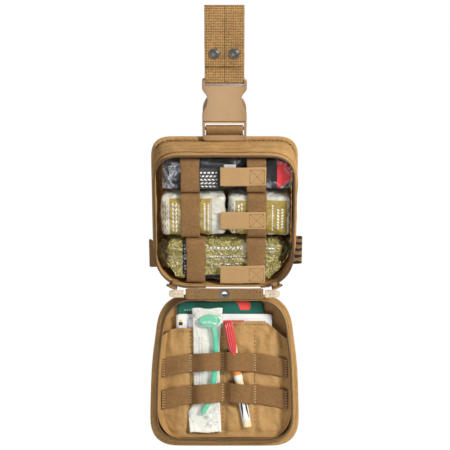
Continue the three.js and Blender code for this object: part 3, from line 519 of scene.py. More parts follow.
def printed(name, colour, marks=(), rough=0.3, relief=0.0007, scale=60.0, cloth=False, metallic=0.0,
            **constants):
    """marks are (colour, x0, x1, z0, z1, line, dash): a block, or lines of dashes in that block.
    A line below zero makes the lines stand upright."""
    s = Surface(name)
    if cloth:
        a, b = s.cloth_place()
    else:
        a, _, b = s.place()
    tone = s.noise(25.0, detail=4.0)
    base = s.mix(tone, shade(colour, 0.86), shade(colour, 1.08))
    for ink, x0, x1, z0, z1, line, dash in marks:
        mask = a.between(x0, x1, 0.0004) * b.between(z0, z1, 0.0004)
        if line:
            over, along = (b, a) if line > 0 else (a, b)
            mask = mask * (over * (2 * math.pi / line)).sine().above(0.0, 0.25)
            broken = (along * (2 * math.pi / dash) + (over * (2 * math.pi / line / 1.7)).sine() * 2).sine()
            mask = mask * broken.above(-0.45, 0.3)
        base = s.mix(mask, base, ink)
    fold = creases(s, scale) + creases(s, scale * 2.3, 0.4) * 0.5
    return s.finish(base, rough + tone * 0.1, s.bump(fold, relief), metallic, **constants)


def film(name, tint, clear, relief=0.0012, scale=45.0, gleam=0.5, **constants):
    s = Surface(name)
    fold = creases(s, scale, 1.2) + creases(s, scale * 2.2, 0.6) * 0.5
    patchy = s.noise(scale * 0.5, detail=2.0).above(0.5, 0.12)
    glint = fold.power(4.0) * patchy * gleam
    return s.finish(
        tint, 0.12, s.bump(fold, relief), alpha=(glint + clear).clamped(), Coat_Weight=0.6, **constants
    )


WHITE, BLACK, GOLD, RED = (0.82, 0.81, 0.77), (0.02, 0.02, 0.02), (0.33, 0.235, 0.042), (0.72, 0.04, 0.05)


def acetal_finish():
    """Moulded plastic with painted shade: paler in its middle and darker towards its left and right edges, as
    on a face that curves away from the light.
    """
    s = Surface("acetal")
    x, _, z = s.place()
    # painted shade: the colour darkens with distance from the middle towards the left and right edges, mixed
    # with random streaks of tone
    edge = (x.size() / 0.0295).power(3.0)
    worn = s.noise(70.0, detail=4.0)
    streak = s.noise(60.0, detail=3.0, stretch=(1.0, 1.0, 0.25))
    base = s.mix(worn, (0.385, 0.235, 0.115), (0.455, 0.285, 0.145))
    base = s.mix(edge * 0.75 + (streak - 0.5) * 0.3, base, (0.26, 0.15, 0.068))
    return s.finish(base, 0.34, s.bump(s.noise(900.0, detail=2.0), 0.00004), Specular_IOR_Level=0.45)


acetal = acetal_finish()
# painted shade: the prongs and their ribs take a darker copy of the buckle's acetal, for their recess in the
# socket's cut-outs
prong_acetal_shaded = plain("prong_acetal_shaded", (0.30, 0.175, 0.08), 0.4, grain_size=900.0)
gunmetal = plain("gunmetal", (0.125, 0.117, 0.102), 0.36, 0.6)
dark_zip = plain("dark_zip", (0.30, 0.17, 0.065), 0.5, 0.1)
coil_nylon = plain("coil_nylon", (0.13, 0.072, 0.032), 0.5)
black_plastic = plain("black_plastic", (0.035, 0.034, 0.04), 0.38)
black_weave = woven("black_weave", (0.05, 0.047, 0.043), 0.0015, 0.0012, 0.0003)
red_plastic = plain("red_plastic", (0.60, 0.05, 0.055), 0.36, Coat_Weight=0.2)
white_weave = woven("white_weave", (0.72, 0.72, 0.70), 0.0010, 0.0010, 0.0002)
clear_film = film("clear_film", (0.70, 0.73, 0.80), 0.012, 0.0012, 62.0, gleam=0.16)
pouch_film = film("pouch_film", (0.80, 0.83, 0.80), 0.12, 0.0009, 70.0, 0.55)
airway_rubber = plain("airway_rubber", (0.10, 0.56, 0.34), 0.22, Coat_Weight=0.5)
case_yellow = plain("case_yellow", (0.80, 0.66, 0.40), 0.3, Coat_Weight=0.3)
PALE_FILM = (0.60, 0.58, 0.50)
gauze_left_film = printed("gauze_left_film", PALE_FILM, [
    (GOLD, -0.0735, -0.0168, -0.2992, -0.2478, 0, 0),
    (WHITE, -0.0300, -0.0185, -0.293, -0.254, -0.0050, 0.0034),
    (WHITE, -0.0715, -0.0600, -0.295, -0.252, -0.0042, 0.0060),
    (WHITE, -0.0190, -0.0182, -0.297, -0.250, 0, 0),
    (shade(GOLD, 0.8), -0.083, -0.0755, -0.296, -0.252, -0.0030, 0.009),
], rough=0.24, Coat_Weight=0.3)
gauze_right_film = printed("gauze_right_film", PALE_FILM, [
    (GOLD, 0.0142, 0.0835, -0.2985, -0.2500, 0, 0),
    (WHITE, 0.0630, 0.0660, -0.293, -0.256, -0.0050, 0.0034),
    (WHITE, 0.0680, 0.0810, -0.290, -0.262, -0.0056, 0.0042),
    (WHITE, 0.0165, 0.0250, -0.294, -0.254, -0.0040, 0.0060),
    (shade(GOLD, 0.8), 0.006, 0.0125, -0.296, -0.254, -0.0030, 0.009),
], rough=0.24, Coat_Weight=0.3)
foil_marks = [
    (WHITE, -0.0240, 0.0260, -0.3230, -0.3150, 0.0080, 0.0052),
    (WHITE, -0.0240, 0.0280, -0.3345, -0.3260, 0.0046, 0.0036),
    (WHITE, -0.0180, 0.0200, -0.3420, -0.3370, 0.0080, 0.0075),
    (WHITE, 0.0560, 0.0680, -0.3240, -0.3140, 0.0050, 0.0040),
    (BLACK, -0.0565, -0.0500, -0.356, -0.309, 0, 0),
    (WHITE, -0.0545, -0.0525, -0.356, -0.309, 0.0050, 0.02),
    (BLACK, -0.0540, 0.0500, -0.3665, -0.3560, 0, 0),
    (WHITE, -0.0240, -0.0060, -0.3655, -0.3600, 0.0048, 0.0050),
]
olive_foil = printed("olive_foil", (0.41, 0.345, 0.115), foil_marks, 0.14, 0.0030, 75.0, metallic=0.35,
                     Coat_Weight=0.6)


def green_card_finish():
    s = Surface("green_card")
    a, b = s.cloth_place()
    wedge = (0.0062 + (b - 0.1225) * 0.35 - (a - 0.093).size()).above(0.0, 0.0004) * b.above(0.1225, 0.0004)
    line = a.between(0.010, 0.052, 0.0004) * b.between(0.1215, 0.1235, 0.0004)
    pale = line * (a * 1900.0).sine().above(-0.2, 0.3)
    base = s.mix(s.noise(30.0), (0.004, 0.098, 0.066), (0.008, 0.14, 0.096))
    base = s.mix(pale * 0.5, base, WHITE)
    base = s.mix(wedge, base, (0.85, 0.07, 0.06))
    return s.finish(base, 0.3, s.bump(s.noise(140.0), 0.0002), Coat_Weight=0.3)


green_card = green_card_finish()
back_marks = [
    (RED, 0.0180, 0.0235, 0.1085, 0.1165, 0, 0),
    (RED, 0.0640, 0.0970, 0.1105, 0.1165, 0, 0),
    ((0.03, 0.04, 0.10), 0.1090, 0.1245, 0.1085, 0.1155, 0, 0),
    (BLACK, 0.0030, 0.0090, 0.1075, 0.1125, 0, 0),
    ((0.75, 0.55, 0.03), 0.0035, 0.0080, 0.1125, 0.1160, 0, 0),
    (BLACK, 0.0990, 0.1070, 0.1090, 0.1150, 0.0030, 0.003),
]
white_card = printed("white_card", (0.80, 0.80, 0.78), back_marks, 0.4, 0.0001, cloth=True)
front_marks = [(RED, 0.0480, 0.0770, 0.0990, 0.1030, 0, 0),
               (BLACK, 0.0790, 0.1060, 0.0985, 0.1025, 0.0018, 0.003)]
front_card = printed("front_card", (0.78, 0.78, 0.77), front_marks, 0.4, 0.0001, cloth=True)
paper_marks = [((0.45, 0.46, 0.44), 0.004, 0.014, 0.040, 0.125, -0.0048, 0.0040)]
pouch_paper = printed("pouch_paper", (0.78, 0.76, 0.68), paper_marks, 0.55, 0.0009, 38.0, cloth=True)
label_marks = [(BLACK, 0.0010, 0.0140, 0.018, 0.042, -0.0060, 0.011),
               (BLACK, 0.0010, 0.0150, 0.006, 0.014, 0.0026, 0.007)]
case_label = printed("case_label", (0.83, 0.82, 0.77), label_marks, 0.45, 0.00005, cloth=True)
orange = plain("orange", (0.80, 0.26, 0.03), 0.4)
print("finishes:", len(bpy.data.materials))

# %% [markdown]
# ## The belt loops
# Each loop is one length of webbing. It starts as a sewn tail, turns under the buckle's bar, climbs
# behind, and goes over the belt. The rest of it is the flap that snaps down, which can fold up.

# %% Belt straps and flaps
def mm(*values):
    return tuple(v * MM for v in values)


def arc(cy, cz, radius, start, end, steps):
    turn = [math.radians(start + (end - start) * i / steps) for i in range(steps + 1)]
    return [(0.0, cy + radius * math.cos(a), cz + radius * math.sin(a)) for a in turn]


FRONT = Vector((0, -1, 0))
snap_places = []
for side, word in ((-1, "left"), (1, "right")):
    low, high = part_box(f"belt_strap_{word}")
    middle = (low.x + high.x) / 2 * 0.990
    path = [mm(0, 1.85, -52), mm(0, 1.85, -83), mm(0, -2.0, -93.2)]
    path += arc(0.0007, -0.0982, 0.00351, 180, 360, 10) + [mm(0, 4.0, -92)]
    path += arc(-0.0006, -0.0037, 0.0046, 0, 62, 6)
    path = [(middle, y, z) for _, y, z in path]
    strip(f"belt_webbing_{word}", along_line(path, rounds=1), (1, 0, 0), 0.0259, 0.0018, loop_webbing,
          "belt_hanger", [f"belt_strap_{word}"], wave=0.0002, round_edge=0.0006)
    flap = arc(-0.0006, -0.0037, 0.0046, 58, 176, 10) + [mm(0, -5.2, -9), mm(0, -5.3, -34)]
    flap += [mm(0, -3.7, -52), mm(0, -3.45, -61), mm(0, -3.5, -70), mm(0, -3.1, -78.6)]
    flap = along_line([(middle, y, z) for _, y, z in flap], rounds=2)
    piece = strip(f"belt_flap_webbing_{word}", flap, (1, 0, 0), 0.0259, 0.0018, loop_webbing, None,
                  [f"belt_flap_{word}"], wave=0.0002, round_edge=0.0006)
    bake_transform(settle(piece))
    snap_places.append((word, middle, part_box(f"snap_cap_{word}")))
    runs = [((middle - 0.011, 0.0003, z), (middle + 0.011, 0.0003, z), FRONT) for z in (-0.0915, -0.0885)]
    stitches(f"buckle_end_stitch_{word}", runs, "belt_hanger", "webbing", thread)
print("belt webbing laid")


# %% [markdown]
# A snap cap is a spun dome with a rolled rim, and a small flat in the middle.

# %% Snap caps
def spun(name, profile, centre, axis, body, material, stands_for=(), frame_of=HERE, steps=40):
    """profile is (radius, distance along the axis)."""
    bm = bmesh.new()
    bm.loops.layers.uv.new("UVMap")
    verts = [bm.verts.new((r, 0.0, h)) for r, h in profile]
    edges = [bm.edges.new(pair) for pair in zip(verts, verts[1:])]
    bmesh.ops.spin(bm, geom=verts + edges, cent=(0, 0, 0), axis=(0, 0, 1), angle=2 * math.pi,
                   steps=steps, use_merge=True, use_duplicate=False)
    bmesh.ops.remove_doubles(bm, verts=bm.verts, dist=1e-6)
    bmesh.ops.recalc_face_normals(bm, faces=bm.faces)
    turn = Vector((0, 0, 1)).rotation_difference(Vector(axis)).to_matrix().to_4x4()
    bmesh.ops.transform(bm, matrix=Matrix.Translation(Vector(centre)) @ turn, verts=bm.verts)
    return add_piece(name, bm, body, material, stands_for, frame_of)


dome = [mm(0, 0), mm(6.6, 0), mm(7.1, 0.35), mm(7.15, 0.9), mm(6.7, 1.35), mm(6.2, 1.3), mm(5.8, 1.2)]
dome += [mm(4.9, 1.85), mm(3.4, 2.35), mm(1.8, 2.6), mm(0, 2.66)]
for word, middle, (low, high) in snap_places:
    spun(f"snap_dome_{word}", dome, (middle, -0.00445, -0.061), FRONT, f"{word}_belt_flap",
         gunmetal, [f"snap_cap_{word}"])
print("snap caps spun")

# %% [markdown]
# ## The buckle
# The measured buckle is already the right shape, so it keeps its solids. Bevels soften its edges,
# and raised grip ribs go on the two prong heads, where fingers squeeze it.

# %% Buckle finish and ribs
def soften(node, material, width=0.0004, segments=2, angle=35):
    piece = bpy.data.objects[node]
    piece.data.materials.clear()
    piece.data.materials.append(material)
    for polygon in piece.data.polygons:
        polygon.use_smooth = True
    if width:
        bevel = piece.modifiers.new("edges", "BEVEL")
        bevel.width = width
        bevel.segments = segments
        bevel.limit_method = "ANGLE"
        bevel.angle_limit = math.radians(angle)
        normals = piece.modifiers.new("shading", "WEIGHTED_NORMAL")
        normals.keep_sharp = False
    return piece


cad = {o["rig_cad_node"]: o for o in bpy.data.objects if "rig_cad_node" in o}
print("CAD pieces:", len(cad), [o.name for o in list(cad.values())[:3]])

# %% Finish the parts that keep their solids
def keep(nodes, material, width=0.0004):
    for node in nodes:
        piece = cad[node]
        soften(piece.name, material, width)


keep(["buckle_socket", "buckle_plug"], acetal, 0.0007)
# painted shade: the darker acetal copy sets the prongs apart as if sunk in shadow
keep(["buckle_prong_left", "buckle_prong_right"], prong_acetal_shaded, 0.0005)
keep(["snap_stud_left", "snap_stud_right", "drain_grommet"], gunmetal, 0.0002)
keep(["zip_slider_left", "zip_slider_right"], dark_zip, 0.0003)
keep(["windlass_clip", "windlass_rod"], black_plastic, 0.0004)
keep(["airway_tube"], airway_rubber, 0.0)
keep(["needle_case"], case_yellow, 0.0002)


def small_boxes(name, boxes, body, material, frame_of=HERE, round_edge=0.0003):
    """boxes are (centre, size, turn about the frame's Y axis)."""
    bm = bmesh.new()
    bm.loops.layers.uv.new("UVMap")
    for centre, size, turn in boxes:
        turned = Matrix.Translation(Vector(centre)) @ Matrix.Rotation(turn, 4, "Y")
        place = turned @ Matrix.Diagonal((*size, 1.0))
        bmesh.ops.create_cube(bm, size=1.0, matrix=place)
    if round_edge:
        bmesh.ops.bevel(bm, geom=list(bm.edges), offset=round_edge, segments=2, profile=0.5,
                        affect="EDGES", material=-1)
    return add_piece(name, bm, body, material, (), frame_of)


for side, word in ((-1, "left"), (1, "right")):
    low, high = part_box(f"buckle_prong_{word}")
    edge = high.x if side > 0 else low.x
    rib_size = (0.0072, 0.0009, 0.0011)
    ribs = [((edge - side * 0.0045, low.y - 0.0001, high.z - 0.0085 - 0.0024 * i), rib_size, 0.0)
            for i in range(4)]
    small_boxes(f"prong_ribs_{word}", ribs, f"{word}_prong", prong_acetal_shaded)
print("kept solids finished")

# %% [markdown]
# ## Drop webbing
# A wide length of webbing comes up from behind the pouch and turns over the plug's bar.

# %% The webbing that holds the pouch
wrap = 0.0040 * 0.71 + 0.00035 + 0.0009
drop = [(0, 0.00835, -0.2518), (0, 0.00835, -0.1764), (0, 0.0067, -0.1715)]
drop += arc(0.0005, -0.163, wrap, -8, 212, 14) + [mm(0, -0.1, -168.9), mm(0, 2.9, -173)]
strip("drop_webbing_fabric", along_line(drop, rounds=1), (1, 0, 0), 0.0496, 0.0018, drop_weave, "back_half",
      ["drop_webbing"], cells=12, wave=0.0004, round_edge=0.0006)
box_stitch = []
for z in (-0.215, -0.2475):
    box_stitch.append(((-0.0225, 0.00945, z), (0.0225, 0.00945, z), (0, 1, 0)))
for x in (-0.0225, 0.0225):
    box_stitch.append(((x, 0.00945, -0.2475), (x, 0.00945, -0.215), (0, 1, 0)))
box_stitch.append(((-0.0225, 0.00945, -0.2475), (0.0225, 0.00945, -0.215), (0, 1, 0)))
box_stitch.append(((0.0225, 0.00945, -0.2475), (-0.0225, 0.00945, -0.215), (0, 1, 0)))
stitches("drop_webbing_stitch", box_stitch, "back_half", "webbing", thread)

# %% [markdown]
# ## Padded panels
# A panel is foam between two cloths, bound at the edge. Going inwards from the edge it is thin at the
# binding, pinched at the row of stitches, and then full. Each ring is the outline drawn towards the
# middle, so the whole panel is a single sheet that runs from its front centre out and round to its
# back centre.

# %% Padded panels
def pad(name, shape, y0, y1, body, stands_for, frame_of, material):
    edge = along_line(outline(*shape), closed=True, rounds=1)
    heart = Vector((0, 0, shape[4] * (shape[1] + shape[2]) / 2))
    full = (y1 - y0) / 2
    middle = (y0 + y1) / 2
    rings = [(0.0, 0.30), (0.002, 0.50), (0.0042, 0.50), (0.0052, 0.34), (0.0066, 0.50)]
    rings += [(0.010, 0.78), (0.016, 0.94), (0.026, 1.0), (0.040, 1.0), (0.058, 1.0), (0.078, 1.0)]
    rings += [(0.098, 1.0)]
    front = [(inset / 0.098, -share) for inset, share in reversed(rings)]
    profile = front + [(inset / 0.098, share) for inset, share in rings]

    def place(u, v):
        shrink, share = profile[round(v * (len(profile) - 1))]
        rim = edge(u)
        spot = rim.lerp(heart, shrink)
        fold = noise.noise(spot * 28 + Vector((3, share, 7))) + 0.5 * noise.noise(spot * 75)
        ripple = 0.0006 * fold * min(1.0, shrink * 8)
        pull = 0.0007 * math.sin(u * 2 * math.pi * 62) * (1 if 0.04 < shrink < 0.12 else 0)
        spot.y = middle + share * full * 0.98 + ripple + pull * (1 if share > 0 else -1)
        return spot

    bm = lay_sheet(200, len(profile) - 1, place, (edge.length, 0.2), closed=True)
    bmesh.ops.recalc_face_normals(bm, faces=bm.faces)
    cloth = bm.loops.layers.uv.active
    for face in bm.faces:
        for loop in face.loops:
            loop[cloth].uv = (loop.vert.co.x, loop.vert.co.z)
    piece = add_piece(name, bm, body, material, stands_for, frame_of)
    return piece


pad("back_pad", PANEL, 0.0, 0.007, "back_half", ["back_panel"], BACK_FRAME, pouch_cloth)
pad("lid_pad", LID_PANEL, 0.02675, 0.03175, "lid", ["lid_panel"], LID_FRAME, pouch_cloth)


def edge_stitches(name, shape, inset, y, facing, body, frame_of, material, start=0.02, end=0.98, steps=110,
                  **sizes):
    line = along_line(outline(*shape, inset=inset, y=y), closed=True, rounds=1)
    runs = stitch_line(line, facing, steps, start, end)
    return stitches(name, runs, body, "pouch_fabric", material, frame_of, **sizes)


edge_stitches("back_pad_stitch", PANEL, 0.0046, 0.0006, FRONT, "back_half", BACK_FRAME, thread, length=0.0034)
edge_stitches("back_pad_stitch_rear", PANEL, 0.0046, 0.0060, -FRONT, "back_half", BACK_FRAME, thread,
              length=0.0034)
edge_stitches("lid_pad_stitch_rear", LID_PANEL, 0.0046, 0.0311, -FRONT, "lid", LID_FRAME, thread,
              length=0.0034)
print("panels padded")

# %% [markdown]
# ## Gussets
# The side wall of each half is a strip of soft cloth between the rim and the panel. It bellies out a
# little in the middle, and puckers where it is sewn, more near the corners.

# %% Gussets
def gusset(name, rim_shape, panel_shape, y_rim, y_panel, belly, body, stands_for, frame_of, material, seed):
    rim = along_line(outline(*rim_shape, y=y_rim), closed=True, rounds=1)
    panel = along_line(outline(*panel_shape, inset=0.0055, y=y_panel), closed=True, rounds=1)
    heart = Vector((0, 0, rim_shape[4] * 0.1))

    def place(u, v):
        spot = rim(u).lerp(panel(u), v)
        out = spot - heart
        out.y = 0
        out.normalize()
        free = math.sin(math.pi * v)
        along = u * rim.length
        pucker = noise.noise(Vector((along * 30, v * 1.5, seed))) * 0.0020
        pucker += noise.noise(Vector((along * 80, v * 4.0, seed + 5))) * 0.0010
        level = noise.noise(Vector((along * 7, v * 6.5, seed + 9))) * 0.0042
        level -= 0.0012 * math.exp(-(((v - 0.16) / 0.03) ** 2))
        return spot + out * ((belly + pucker + level) * free ** 0.7)

    bm = lay_sheet(420, 24, place, (rim.length, abs(y_panel - y_rim) * 1.1), closed=True)
    bmesh.ops.recalc_face_normals(bm, faces=bm.faces)
    piece = add_piece(name, bm, body, material, stands_for, frame_of)
    for v in (0.12, 0.205):
        runs = []
        for i in range(180):
            a, b = place(0.06 + 0.88 * i / 180, v), place(0.06 + 0.88 * (i + 1) / 180, v)
            out = (a - heart) * Vector((1, 0, 1))
            runs.append((a + out.normalized() * 0.0002, b + out.normalized() * 0.0002, out))
        stitches(f"{name}_seam_{round(v * 100)}", runs, body, "pouch_fabric", thread, frame_of,
                 length=0.0024, gap=0.0012)
    return thicken(piece, 0.0018, -1.0)


gusset("back_gusset", BACK_RIM, PANEL, -0.0474, -0.0008, 0.0014, "back_half", ["back_side_wall"],
       BACK_FRAME, pouch_cloth, 2.0)
gusset("lid_gusset", LID_RIM, LID_PANEL, 0.0048, 0.0262, 0.0010, "lid", ["lid_side_wall"], LID_FRAME,
       pouch_cloth, 8.0)


# %% [markdown]
# The rim of each half carries its side of the zip: a folded tape, with the nylon coil along its face.
# The coil is a row of small loops, one every two millimetres.

# %% Rims and zip coils
def rim_binding(name, shape, y0, y1, body, stands_for, frame_of, start=0.055, end=0.945):
    outer = along_line(outline(*shape, inset=-0.0003), closed=True, rounds=1)
    inner = along_line(outline(*shape, inset=0.0016), closed=True, rounds=1)
    ring = [(0, 0.15), (0, 0.85), (0.12, 1), (0.88, 1), (1, 0.85), (1, 0.15), (0.88, 0), (0.12, 0), (0, 0.15)]

    def place(u, v):
        t = start + (end - start) * u
        across, deep = ring[round(v * 8)]
        spot = outer(t).lerp(inner(t), across)
        spot.y = y0 + (y1 - y0) * deep + 0.0003 * noise.noise(spot * 90)
        return spot

    bm = lay_sheet(300, 8, place, (outer.length * (end - start), 0.014))
    bmesh.ops.remove_doubles(bm, verts=bm.verts, dist=1e-6)
    bmesh.ops.recalc_face_normals(bm, faces=bm.faces)
    bmesh.ops.holes_fill(bm, edges=[e for e in bm.edges if e.is_boundary])
    return add_piece(name, bm, body, rim_tape, stands_for, frame_of)


def zip_coil(name, shape, y, body, frame_of, start=0.07, end=0.93, pitch=0.0022):
    line = along_line(outline(*shape, inset=0.0009, y=y), closed=True, rounds=1)
    count = int(line.length * (end - start) / pitch)
    boxes = []
    for i in range(count):
        t = start + (end - start) * i / count
        spot, ahead = line(t), line(min(1.0, t + 0.001))
        turn = -math.atan2(ahead.z - spot.z, ahead.x - spot.x)
        boxes.append((spot, (0.0012, 0.0010, 0.0026), turn))
    return small_boxes(name, boxes, body, coil_nylon, frame_of, 0.0)


rim_binding("back_rim_binding", BACK_RIM, -0.0511, -0.0474, "back_half", ["back_zip"], BACK_FRAME)
rim_binding("lid_rim_binding", LID_RIM, 0.0010, 0.0047, "lid", ["lid_zip"], LID_FRAME)
zip_coil("back_zip_teeth", BACK_RIM, -0.0513, "back_half", BACK_FRAME)
zip_coil("lid_zip_teeth", LID_RIM, 0.0008, "lid", LID_FRAME)
for side, word in ((-1, "left"), (1, "right")):
    low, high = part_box(f"zip_pull_{word}")
    middle = (low + high) / 2
    pin = Vector((side * 0.070, middle.y, -0.3707))
    away = (middle - pin).normalized()
    cord = along_line([pin + away * reach for reach in (0.001, 0.005, 0.009)])
    strip(f"zip_pull_cord_{word}", cord, away.cross(FRONT), 0.0036, 0.0014, rim_tape,
          f"{word}_pull", [f"zip_pull_{word}"])
edge_stitches("back_rim_stitch", BACK_RIM, 0.0000, -0.0440, FRONT, "back_half", BACK_FRAME, thread,
              length=0.0026)

# %% [markdown]
# ## Elastic bands and pull tabs
# Two elastic bands run down the back half. Each is sewn to the panel between the rows, so it makes
# three loops. The stretched knit bows over what it holds, and its edges draw in slightly.

# %% Bands over the three rows
ROWS = [-0.1906, -0.2405, -0.3035, -0.3686]
BAND_Y = -0.0443
BAND_X = {"left": (-0.0454, -0.0454, -0.0386), "right": (0.042, 0.043, 0.042)}
for word, centres in BAND_X.items():
    for row, x in enumerate(centres):
        top, low = ROWS[row] - 0.0007, ROWS[row + 1] + 0.0007
        path = [(x, -0.0008, top), (x, BAND_Y + 0.010, top), (x, BAND_Y + 0.0034, top - 0.0008)]
        path += [(x, BAND_Y + 0.0006, top - 0.004), (x, BAND_Y, top - 0.009), (x, BAND_Y, low + 0.009)]
        path += [(x, BAND_Y + 0.0006, low + 0.004), (x, BAND_Y + 0.0034, low + 0.0008)]
        path += [(x, BAND_Y + 0.010, low), (x, -0.0008, low)]
        middle = (top + low) / 2
        reach = (top - low) / 2

        def draw_in(spot, u, v, middle=middle, reach=reach):
            near = max(0.0, 1 - abs(spot.z - middle) / reach)
            flat = 1.0 if spot.y < -0.03 else 0.0
            cup = Vector((-(u - 0.5) * 0.0016 * near, 0.0, 0.0))
            ripple = 0.00025 * noise.noise(spot * 120) - 0.0004 * (1 - (2 * u - 1) ** 2) * near
            return (cup + Vector((0, ripple, 0))) * flat

        stands = [f"band_{word}"] if row == 0 else []
        strip(f"band_{word}_{row}", along_line(path, rounds=1), (1, 0, 0), 0.0258, 0.0013, band_elastic,
              "back_half", stands, cells=10, wave=0.0005, sag=draw_in)
print("bands over", len(ROWS) - 1, "rows")

# %% [markdown]
# A pull tab is a folded tape. Its right end is sewn to the band with a boxed cross, and the rest
# lifts, so the tab is a single piece that bends where the sewing stops.

# %% Pull tabs
TABS = {"top": (-0.216, 0.026), "middle": (-0.277, 0.025), "bottom": (-0.3545, 0.026)}
TAB_Y = -0.0460
for word, (z, width) in TABS.items():
    lean = {"top": 0.0008, "middle": -0.0004, "bottom": 0.0010}[word]
    path = [(0.0548, TAB_Y, z + lean), (0.040, TAB_Y, z + lean * 0.6), (0.031, TAB_Y, z)]
    path += [(0.020, TAB_Y - 0.0002, z), (0.008, TAB_Y + 0.0001, z), (-0.0058, TAB_Y - 0.0003, z)]

    def curl(spot, u, v, lean=lean):
        end = max(0.0, v - 0.55)
        return Vector((0, -0.0006 * end + 0.00015 * math.sin(v * 17 + u * 3) * end * 2,
                       0.0006 * math.sin(v * 8) * end))

    piece = strip(f"pull_tab_{word}", along_line(path, rounds=1), (0, 0, 1), width - 0.0006, 0.0011,
                  tab_tape, None, [f"pull_tab_{word}_sewn", f"pull_tab_{word}_free"],
                  cells=8, wave=0.0005, sag=curl)
    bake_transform(settle(piece))
    face = TAB_Y - 0.0006
    x0, x1, z0, z1 = 0.0335, 0.0525, z - width / 2 + 0.0035, z + width / 2 - 0.0035
    box_run = [((x0, face, z0), (x1, face, z0), FRONT), ((x0, face, z1), (x1, face, z1), FRONT)]
    box_run += [((x0, face, z0), (x0, face, z1), FRONT), ((x1, face, z0), (x1, face, z1), FRONT)]
    box_run += [((x0, face, z0), (x1, face, z1), FRONT), ((x0, face, z1), (x1, face, z0), FRONT)]
    stitches(f"tab_cross_{word}", box_run, "back_half", "tab_tape", thread, length=0.0022, gap=0.0009,
             girth=0.0005)
print("pull tabs:", list(TABS))

# %% [markdown]
# ## What the pouch holds
# A vacuum pack is a rounded block whose film has shrunk into creases. The block starts as a cube cut
# into a grid. Each vertex is pulled in to a rounded box. The two soft gauze packs are then blown up a
# little as cloth under pressure, while the tight foil dressing isn't. Last, layers of ridged noise
# push each vertex along its normal, which leaves sharp folds with flat facets between them.

# %% Creased packs
def rounded_block(low, high, radius, cuts, corner_cut=0.0):
    """A gridded box with round edges. corner_cut slants off the two lower corners."""
    bm = bmesh.new()
    bm.loops.layers.uv.new("UVMap")
    bmesh.ops.create_cube(bm, size=2.0)
    bmesh.ops.subdivide_edges(bm, edges=list(bm.edges), cuts=cuts, use_grid_fill=True)
    low, high = Vector(low), Vector(high)
    half, middle = (high - low) / 2, (high + low) / 2
    for vert in bm.verts:
        co = Vector(vert.co)
        spot = Vector((co.x * half.x, co.y * half.y, co.z * half.z))
        core = Vector([max(-(h - radius), min(h - radius, s)) for s, h in zip(spot, half)])
        away = spot - core
        if away.length > 1e-9:
            spot = core + away.normalized() * min(away.length, radius)
        if corner_cut:
            limit = half.x - max(0.0, corner_cut - (spot.z + half.z))
            if abs(spot.x) > limit:
                spot.x = math.copysign(limit, spot.x)
        vert.co = spot + middle
    return bm


def crumple(bm, layers, seed):
    """Push the film out along its ridges. layers are (size in metres, height in metres)."""
    bm.normal_update()
    moves = []
    for vert in bm.verts:
        push = 0.0
        for size, height in layers:
            field = noise.noise(vert.co / size + Vector((seed, seed * 0.7, 1.3)))
            push += height * (1 - min(1.0, abs(field) * 3.2)) - height * 0.5
        moves.append(vert.normal * push)
    for vert, move in zip(bm.verts, moves):
        vert.co += move


SWELL_PRESSURE = 4.0
SWELL_CAP = 0.0016
SWELL_FRAMES = 14


def swell(piece):
    """Blow the pack up as cloth, letting no point move further than the cap."""
    start = [vert.co.copy() for vert in piece.data.vertices]
    cloth = piece.modifiers.new("swell", "CLOTH")
    cloth.settings.use_pressure = True
    cloth.settings.uniform_pressure_force = SWELL_PRESSURE
    cloth.settings.effector_weights.gravity = 0
    scene = bpy.context.scene
    for step in range(1, SWELL_FRAMES + 1):
        scene.frame_set(step)
    blown = piece.evaluated_get(bpy.context.evaluated_depsgraph_get())
    ends = [vert.co.copy() for vert in blown.data.vertices]
    piece.modifiers.remove(cloth)
    scene.frame_set(1)
    for vert, a, b in zip(piece.data.vertices, start, ends):
        move = b - a
        vert.co = a + move * min(1.0, SWELL_CAP / max(move.length, 1e-9))
    return max((b - a).length for a, b in zip(start, ends))


PACK_INSET = 0.0012  # room that the creases and the swelling may use up


def packet(name, node, radius, layers, seed, material, swells=True, corner_cut=0.0, cuts=30):
    low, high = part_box(node)
    inset = Vector((PACK_INSET, PACK_INSET, PACK_INSET))
    bm = rounded_block(low + inset, high - inset, radius, cuts, corner_cut)
    piece = add_piece(name, bm, "back_half", material, [node])
    blown = swell(piece) if swells else 0.0
    bm = bmesh.new()
    bm.from_mesh(piece.data)
    crumple(bm, layers, seed)
    bmesh.ops.smooth_vert(bm, verts=bm.verts, factor=0.25, use_axis_x=True, use_axis_y=True, use_axis_z=True)
    bm.to_mesh(piece.data)
    bm.free()
    print(name, "swelled", round(blown * 1000, 2), "mm before its cap")
    return piece


packet("gauze_packet_left", "gauze_pack_left", 0.0065, [(0.024, 0.0016), (0.010, 0.0009)], 2.0,
       gauze_left_film)
packet("gauze_packet_right", "gauze_pack_right", 0.0065, [(0.022, 0.0017), (0.009, 0.0009)], 5.0,
       gauze_right_film)
packet("dressing_packet", "dressing_pack", 0.008, [(0.020, 0.0022), (0.009, 0.0012), (0.005, 0.0006)], 9.0,
       olive_foil, swells=False, corner_cut=0.021, cuts=40)


def foil_flap(name, x0, x1, z0, z1, y, seed):
    def place(u, v):
        x = x0 + (x1 - x0) * u + 0.004 * math.sin(v * 5 + seed) * u
        z = z0 + (z1 - z0) * v
        fold = 0.0035 * noise.noise(Vector((u * 3.1, v * 4.3, seed)))
        fold += 0.0015 * noise.noise(Vector((u * 9, v * 11, seed)))
        return Vector((x, y + fold + 0.010 * u, z))

    bm = lay_sheet(16, 36, place, (abs(x1 - x0), abs(z1 - z0)))
    piece = add_piece(name, bm, "back_half", shaded_foil)
    return thicken(piece, 0.0005, 0.0)


